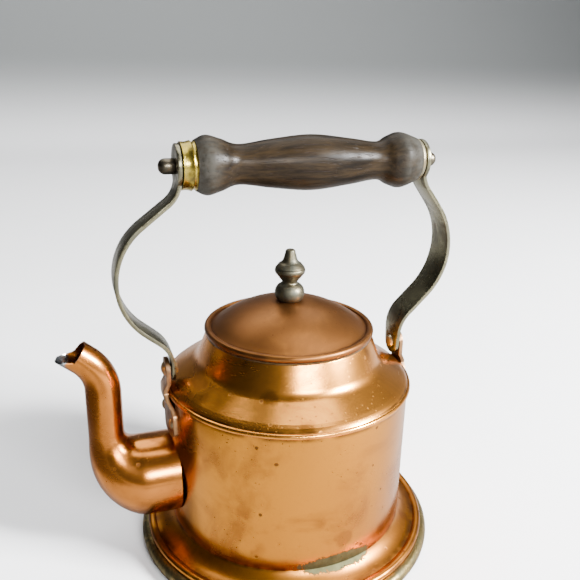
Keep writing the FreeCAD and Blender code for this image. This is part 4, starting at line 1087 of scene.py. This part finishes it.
@dataclass
class Grip:
    """The turned grip and its ferrule; sizes in millimetres, along the grip's own axis."""

    height: float = 177.5
    front: float = -47.6
    rear: float = 57.0
    ferrule_length: float = 6.0
    ferrule_radius: float = 10.4
    spigot: float = 8.2
    bulb: float = 12.1
    neck: float = 8.25
    belly: float = 11.7
    end: float = 9.7
    bore: float = 2.08

    def build(self) -> None:
        """Turns the wood and the ferrule."""
        start = self.front + self.ferrule_length
        length = self.rear - start
        shape = [(0.0, self.ferrule_radius * 0.98), (0.046, self.bulb), (0.105, self.bulb * 0.88),
                 (0.185, self.neck), (0.33, self.neck + (self.belly - self.neck) * 0.55), (0.505, self.belly),
                 (0.68, self.neck + (self.belly - self.neck) * 0.48), (0.81, self.neck),
                 (0.87, self.bulb * 0.88), (0.925, self.bulb), (1.0, self.end)]
        wood = Profile().to(self.bore, self.front).to(self.spigot, self.front, 0.2).to(self.spigot, start)
        wood.through([(radius, start + share * length) for share, radius in shape])
        wood.to(self.end - 0.6, self.rear, 0.3).to(self.bore, self.rear)
        Workshop.fit(Workshop.turned("turned_wood", wood, axis=Axis.GRIP, height=self.height, steps=96),
                     Body.GRIP, "wood_grip", Wood("dark varnished wood"))
        band = self.ferrule_radius
        ring = Profile().to(self.spigot, self.front).to(band * 0.94, self.front, 0.4)
        ring.arc(band * 0.97, self.front + 4.08, 6.0).to(band * 0.945, self.front + 4.32, 0.1)
        ring.arc(band * 0.955, start, 1.2).to(self.spigot, start)
        Workshop.fit(Workshop.turned("brass_ferrule", ring, axis=Axis.GRIP, height=self.height, steps=96),
                     Body.GRIP, "ferrule_front",
                     OldBrass("ferrule brass", clean=(0.36, 0.27, 0.045), film=(0.14, 0.11, 0.04), filmed=0.4,
                              gloss=0.24, dull=0.48, scale=1.6, pitted=0.3))


@dataclass
class Lid:
    """The domed lid with its finial; sizes in millimetres."""

    apex: float = 116.65
    edge_radius: float = 36.9
    edge_height: float = 103.95
    bead: float = 1.5
    gauge: float = 1.0
    curve: float = 54.0
    hole: float = 2.1
    finial_foot: float = 116.7
    finial_height: float = 23.2
    upper: float = 7.0
    lower: float = 6.7

    def build(self) -> None:
        """Builds and dresses the lid's pieces."""
        self.dome()
        self.finial()
        Workshop.dress("lid_collar", Copper("collar copper", browned=0.6, gloss=0.3, dents=0.1))
        Workshop.dress("lid_wire", Steel("drawn wire"))
        Workshop.dress("finial_stud", Steel("rod steel"))
        Workshop.dress("finial_washer", OldBrass("washer brass"), 0.1)
        Workshop.dress("finial_nut", OldBrass("nut brass"), 0.15)

    def dome(self) -> None:
        """Turns the dome with its crease and rolled edge."""
        rim, height, bead = self.edge_radius, self.edge_height, self.bead
        inner = rim - bead * 1.8
        form = Profile().to(self.hole, self.apex, 0.2)
        form.arc(rim - bead * 1.6, height + bead * 0.6, self.curve, step=2.5)
        form.to(rim - bead, height + bead * 0.25, 0.15).arc(rim, height + bead, bead * 1.05)
        form.arc(rim + bead, height, bead).arc(rim, height - bead, bead).to(inner, height - bead)
        form.to(inner, height + bead * 0.6 - self.gauge * 1.2)
        form.arc(self.hole, self.apex - self.gauge, self.curve, left=True, step=5)
        # Painted shade: a thin dark band in the crease between the dome and its rolled edge.
        Workshop.fit(Workshop.turned("lid_dome_and_edge", form, steps=160), Body.LID, "lid_dome",
                     Copper("lid copper", bright=(0.40, 0.16, 0.036), brown=(0.13, 0.05, 0.016), browned=1.0,
                            specked=1.0, gloss=0.27, dull=0.42, painted_shade_bands=((104.6, 0.6),)))

    def finial(self) -> None:
        """Turns the finial: stem, upper bulb, waist and lower bulb."""
        foot, tall, upper, lower = self.finial_foot, self.finial_height, self.upper, self.lower
        form = Profile().to(0, foot + tall).to(upper * 0.17, foot + tall, 0.3)
        form.arc(upper * 0.32, foot + tall * 0.955, upper * 0.16).to(upper * 0.42, foot + tall * 0.84)
        form.arc(upper * 0.72, foot + tall * 0.725, upper * 0.5, left=True)
        form.to(upper * 0.93, foot + tall * 0.645).to(upper * 0.90, foot + tall * 0.635)
        form.to(upper * 0.95, foot + tall * 0.625)
        form.arc(upper * 0.88, foot + tall * 0.52, upper * 0.32).to(upper * 0.53, foot + tall * 0.385)
        form.arc(upper * 0.53, foot + tall * 0.33, upper * 0.14, left=True)
        form.arc(lower, foot + tall * 0.135, upper * 0.66).arc(lower * 0.82, foot, upper * 0.6).to(0, foot)
        Workshop.fit(Workshop.turned("turned_finial", form, closed=False, steps=72), Body.LID, "lid_finial",
                     OldBrass("finial brass", clean=(0.11, 0.095, 0.06), film=(0.060, 0.060, 0.046),
                              brown=(0.05, 0.036, 0.032), filmed=0.55, gloss=0.40, dull=0.6, scale=2.6,
                              pitted=0.9))


@dataclass
class Studio:
    """Floor, backdrop, lights and camera; sizes in metres."""

    eye: tuple[float, float, float] = (-0.0927, -0.2653, 0.2191)
    gaze: tuple[float, float, float] = (0.312, 0.891, -0.330)
    lean: float = 1.36
    lens: float = 41.2

    def build(self) -> None:
        """Sets up the studio."""
        self.room()
        self.light("window_front", (0.14, -0.95, 0.50), (0.42, 0.16), 18.0)
        self.light("window_right", (0.95, -0.75, 0.75), (0.30, 0.30), 150.0)
        self.light("overhead", (0.22, -0.10, 1.25), (0.45, 0.7), 4.0)
        self.light("sky_panel", (0.2, 1.1, 2.3), (2.6, 2.0), 60.0)
        self.surroundings()
        self.camera()

    def surroundings(self) -> None:
        """Lights the room evenly from the sides and more weakly from above."""
        world = bpy.data.worlds.new("room light")
        bpy.context.scene.world = world
        world.use_nodes = True
        tree = world.node_tree
        place = tree.nodes.new("ShaderNodeTexCoord")
        parts = tree.nodes.new("ShaderNodeSeparateXYZ")
        ramp = tree.nodes.new("ShaderNodeValToRGB")
        tree.links.new(place.outputs["Generated"], parts.inputs[0])
        tree.links.new(parts.outputs["Z"], ramp.inputs["Fac"])
        sideways = tree.nodes.new("ShaderNodeMapRange")
        for name, value in (("From Min", -0.9), ("From Max", 0.4), ("To Min", 0.12), ("To Max", 1.0)):
            sideways.inputs[name].default_value = value
        tree.links.new(parts.outputs["X"], sideways.inputs["Value"])
        shaded = tree.nodes.new("ShaderNodeMix")
        shaded.data_type, shaded.blend_type = "RGBA", "MULTIPLY"
        shaded.inputs["Factor"].default_value = 1.0
        tree.links.new(ramp.outputs["Color"], shaded.inputs[6])
        tree.links.new(sideways.outputs["Result"], shaded.inputs[7])
        tree.links.new(shaded.outputs[2], tree.nodes["Background"].inputs["Color"])
        stops = ramp.color_ramp.elements
        stops[0].position, stops[0].color = 0.0, (0.80, 0.82, 0.86, 1.0)
        stops[1].position, stops[1].color = 0.85, (0.34, 0.34, 0.35, 1.0)
        middle = stops.new(0.22)
        middle.color = (0.62, 0.63, 0.66, 1.0)
        tree.nodes["Background"].inputs["Strength"].default_value = 0.6

    def room(self) -> None:
        """Makes the floor and the wall behind it, joined by a curve.

        The floor is pale, with painted shade that turns it grey far behind. In mirror rays alone it is
        painted darker, most of all in front and to the left: a painted reflection, so the copper mirrors
        a darker floor than the one that is seen.
        """
        bpy.ops.object.select_all(action="DESELECT")
        bpy.ops.mesh.primitive_plane_add(size=5.0, location=(0, 0, 0))
        floor = bpy.context.object
        floor.name = "floor"
        bpy.ops.object.mode_set(mode="EDIT")
        bpy.context.tool_settings.mesh_select_mode = (False, True, False)
        bpy.ops.mesh.select_all(action="DESELECT")
        bpy.ops.object.mode_set(mode="OBJECT")
        for edge in floor.data.edges:
            edge.select = all(floor.data.vertices[v].co.y > 2.4 for v in edge.vertices)
        bpy.ops.object.mode_set(mode="EDIT")
        bpy.ops.mesh.extrude_region_move(TRANSFORM_OT_translate={"value": (0, 0, 3.0)})
        bpy.ops.object.mode_set(mode="OBJECT")
        for edge in floor.data.edges:
            ends = [floor.data.vertices[number].co for number in edge.vertices]
            edge.select = all(end.y > 2.4 and end.z < 0.1 for end in ends)
        bpy.ops.object.mode_set(mode="EDIT")
        bpy.ops.mesh.bevel(offset=1.2, segments=24, affect="EDGES")
        bpy.ops.object.mode_set(mode="OBJECT")
        bpy.ops.object.shade_smooth()
        board = Board("pale paper with painted shade")
        mottle = board.noise(30.0, 3.0)
        colour = board.blend(mottle, (0.88, 0.89, 0.91), (0.91, 0.915, 0.93))
        # Painted shade: the floor and wall far behind are painted grey, standing in for less light there.
        colour = board.blend(board.window(board.along(1), 1.45, 2.0), colour, (0.20, 0.21, 0.21))
        # Painted reflection: in mirror rays alone the floor is painted dark in front and to the left.
        mirrored = board.node("ShaderNodeLightPath").outputs["Is Glossy Ray"]
        front = board.near((-70.0, -330.0, 0.0), 440.0)
        side = board.window(board.near((-420.0, -40.0, 0.0), 400.0, (1.0, 1.6, 1.0)), 0.0, 0.4)
        shade = board.sum("MAXIMUM", board.sum("MAXIMUM", front, side), 0.70)
        colour = board.blend(board.sum("MULTIPLY", shade, mirrored), colour, (0.035, 0.028, 0.022))
        board.relief([(board.noise(400.0, 3.0), 0.05)])
        floor.data.materials.append(board.finish(colour, 0.75, 0.0))

    def light(self, name: str, place: tuple[float, float, float], size: tuple[float, float],
              power: float) -> None:
        """Hangs a soft light that looks at the kettle.

        Args:
            name: the light's name.
            place: where it hangs.
            size: its width and height.
            power: its power in watts.
        """
        lamp = bpy.data.lights.new(name, "AREA")
        lamp.shape = "RECTANGLE"
        lamp.size, lamp.size_y = size
        lamp.energy = power
        holder = bpy.data.objects.new(name, lamp)
        holder.location = place
        holder.rotation_euler = (Vector((0, 0, 0.08)) - Vector(place)).to_track_quat("-Z", "Y").to_euler()
        bpy.context.scene.collection.objects.link(holder)

    def camera(self) -> None:
        """Sets the camera up."""
        view = bpy.data.cameras.new("camera")
        view.lens = self.lens
        holder = bpy.data.objects.new("camera", view)
        turn = Vector(self.gaze).to_track_quat("-Z", "Y").to_matrix().to_4x4()
        lean = Matrix.Rotation(math.radians(self.lean), 4, "Z")
        holder.matrix_world = Matrix.Translation(self.eye) @ turn @ lean
        bpy.context.scene.collection.objects.link(holder)
        bpy.context.scene.camera = holder


def main() -> None:
    """Builds every sub-assembly in order."""
    logging.basicConfig(level=logging.INFO, format="%(message)s")
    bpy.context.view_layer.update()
    for part in (Vessel(), Spout(), Ears(), Bail(), Grip(), Lid(), Studio()):
        part.build()
        log.info("%s done", type(part).__name__)
    bpy.context.view_layer.update()


if __name__ == "__main__":
    main()
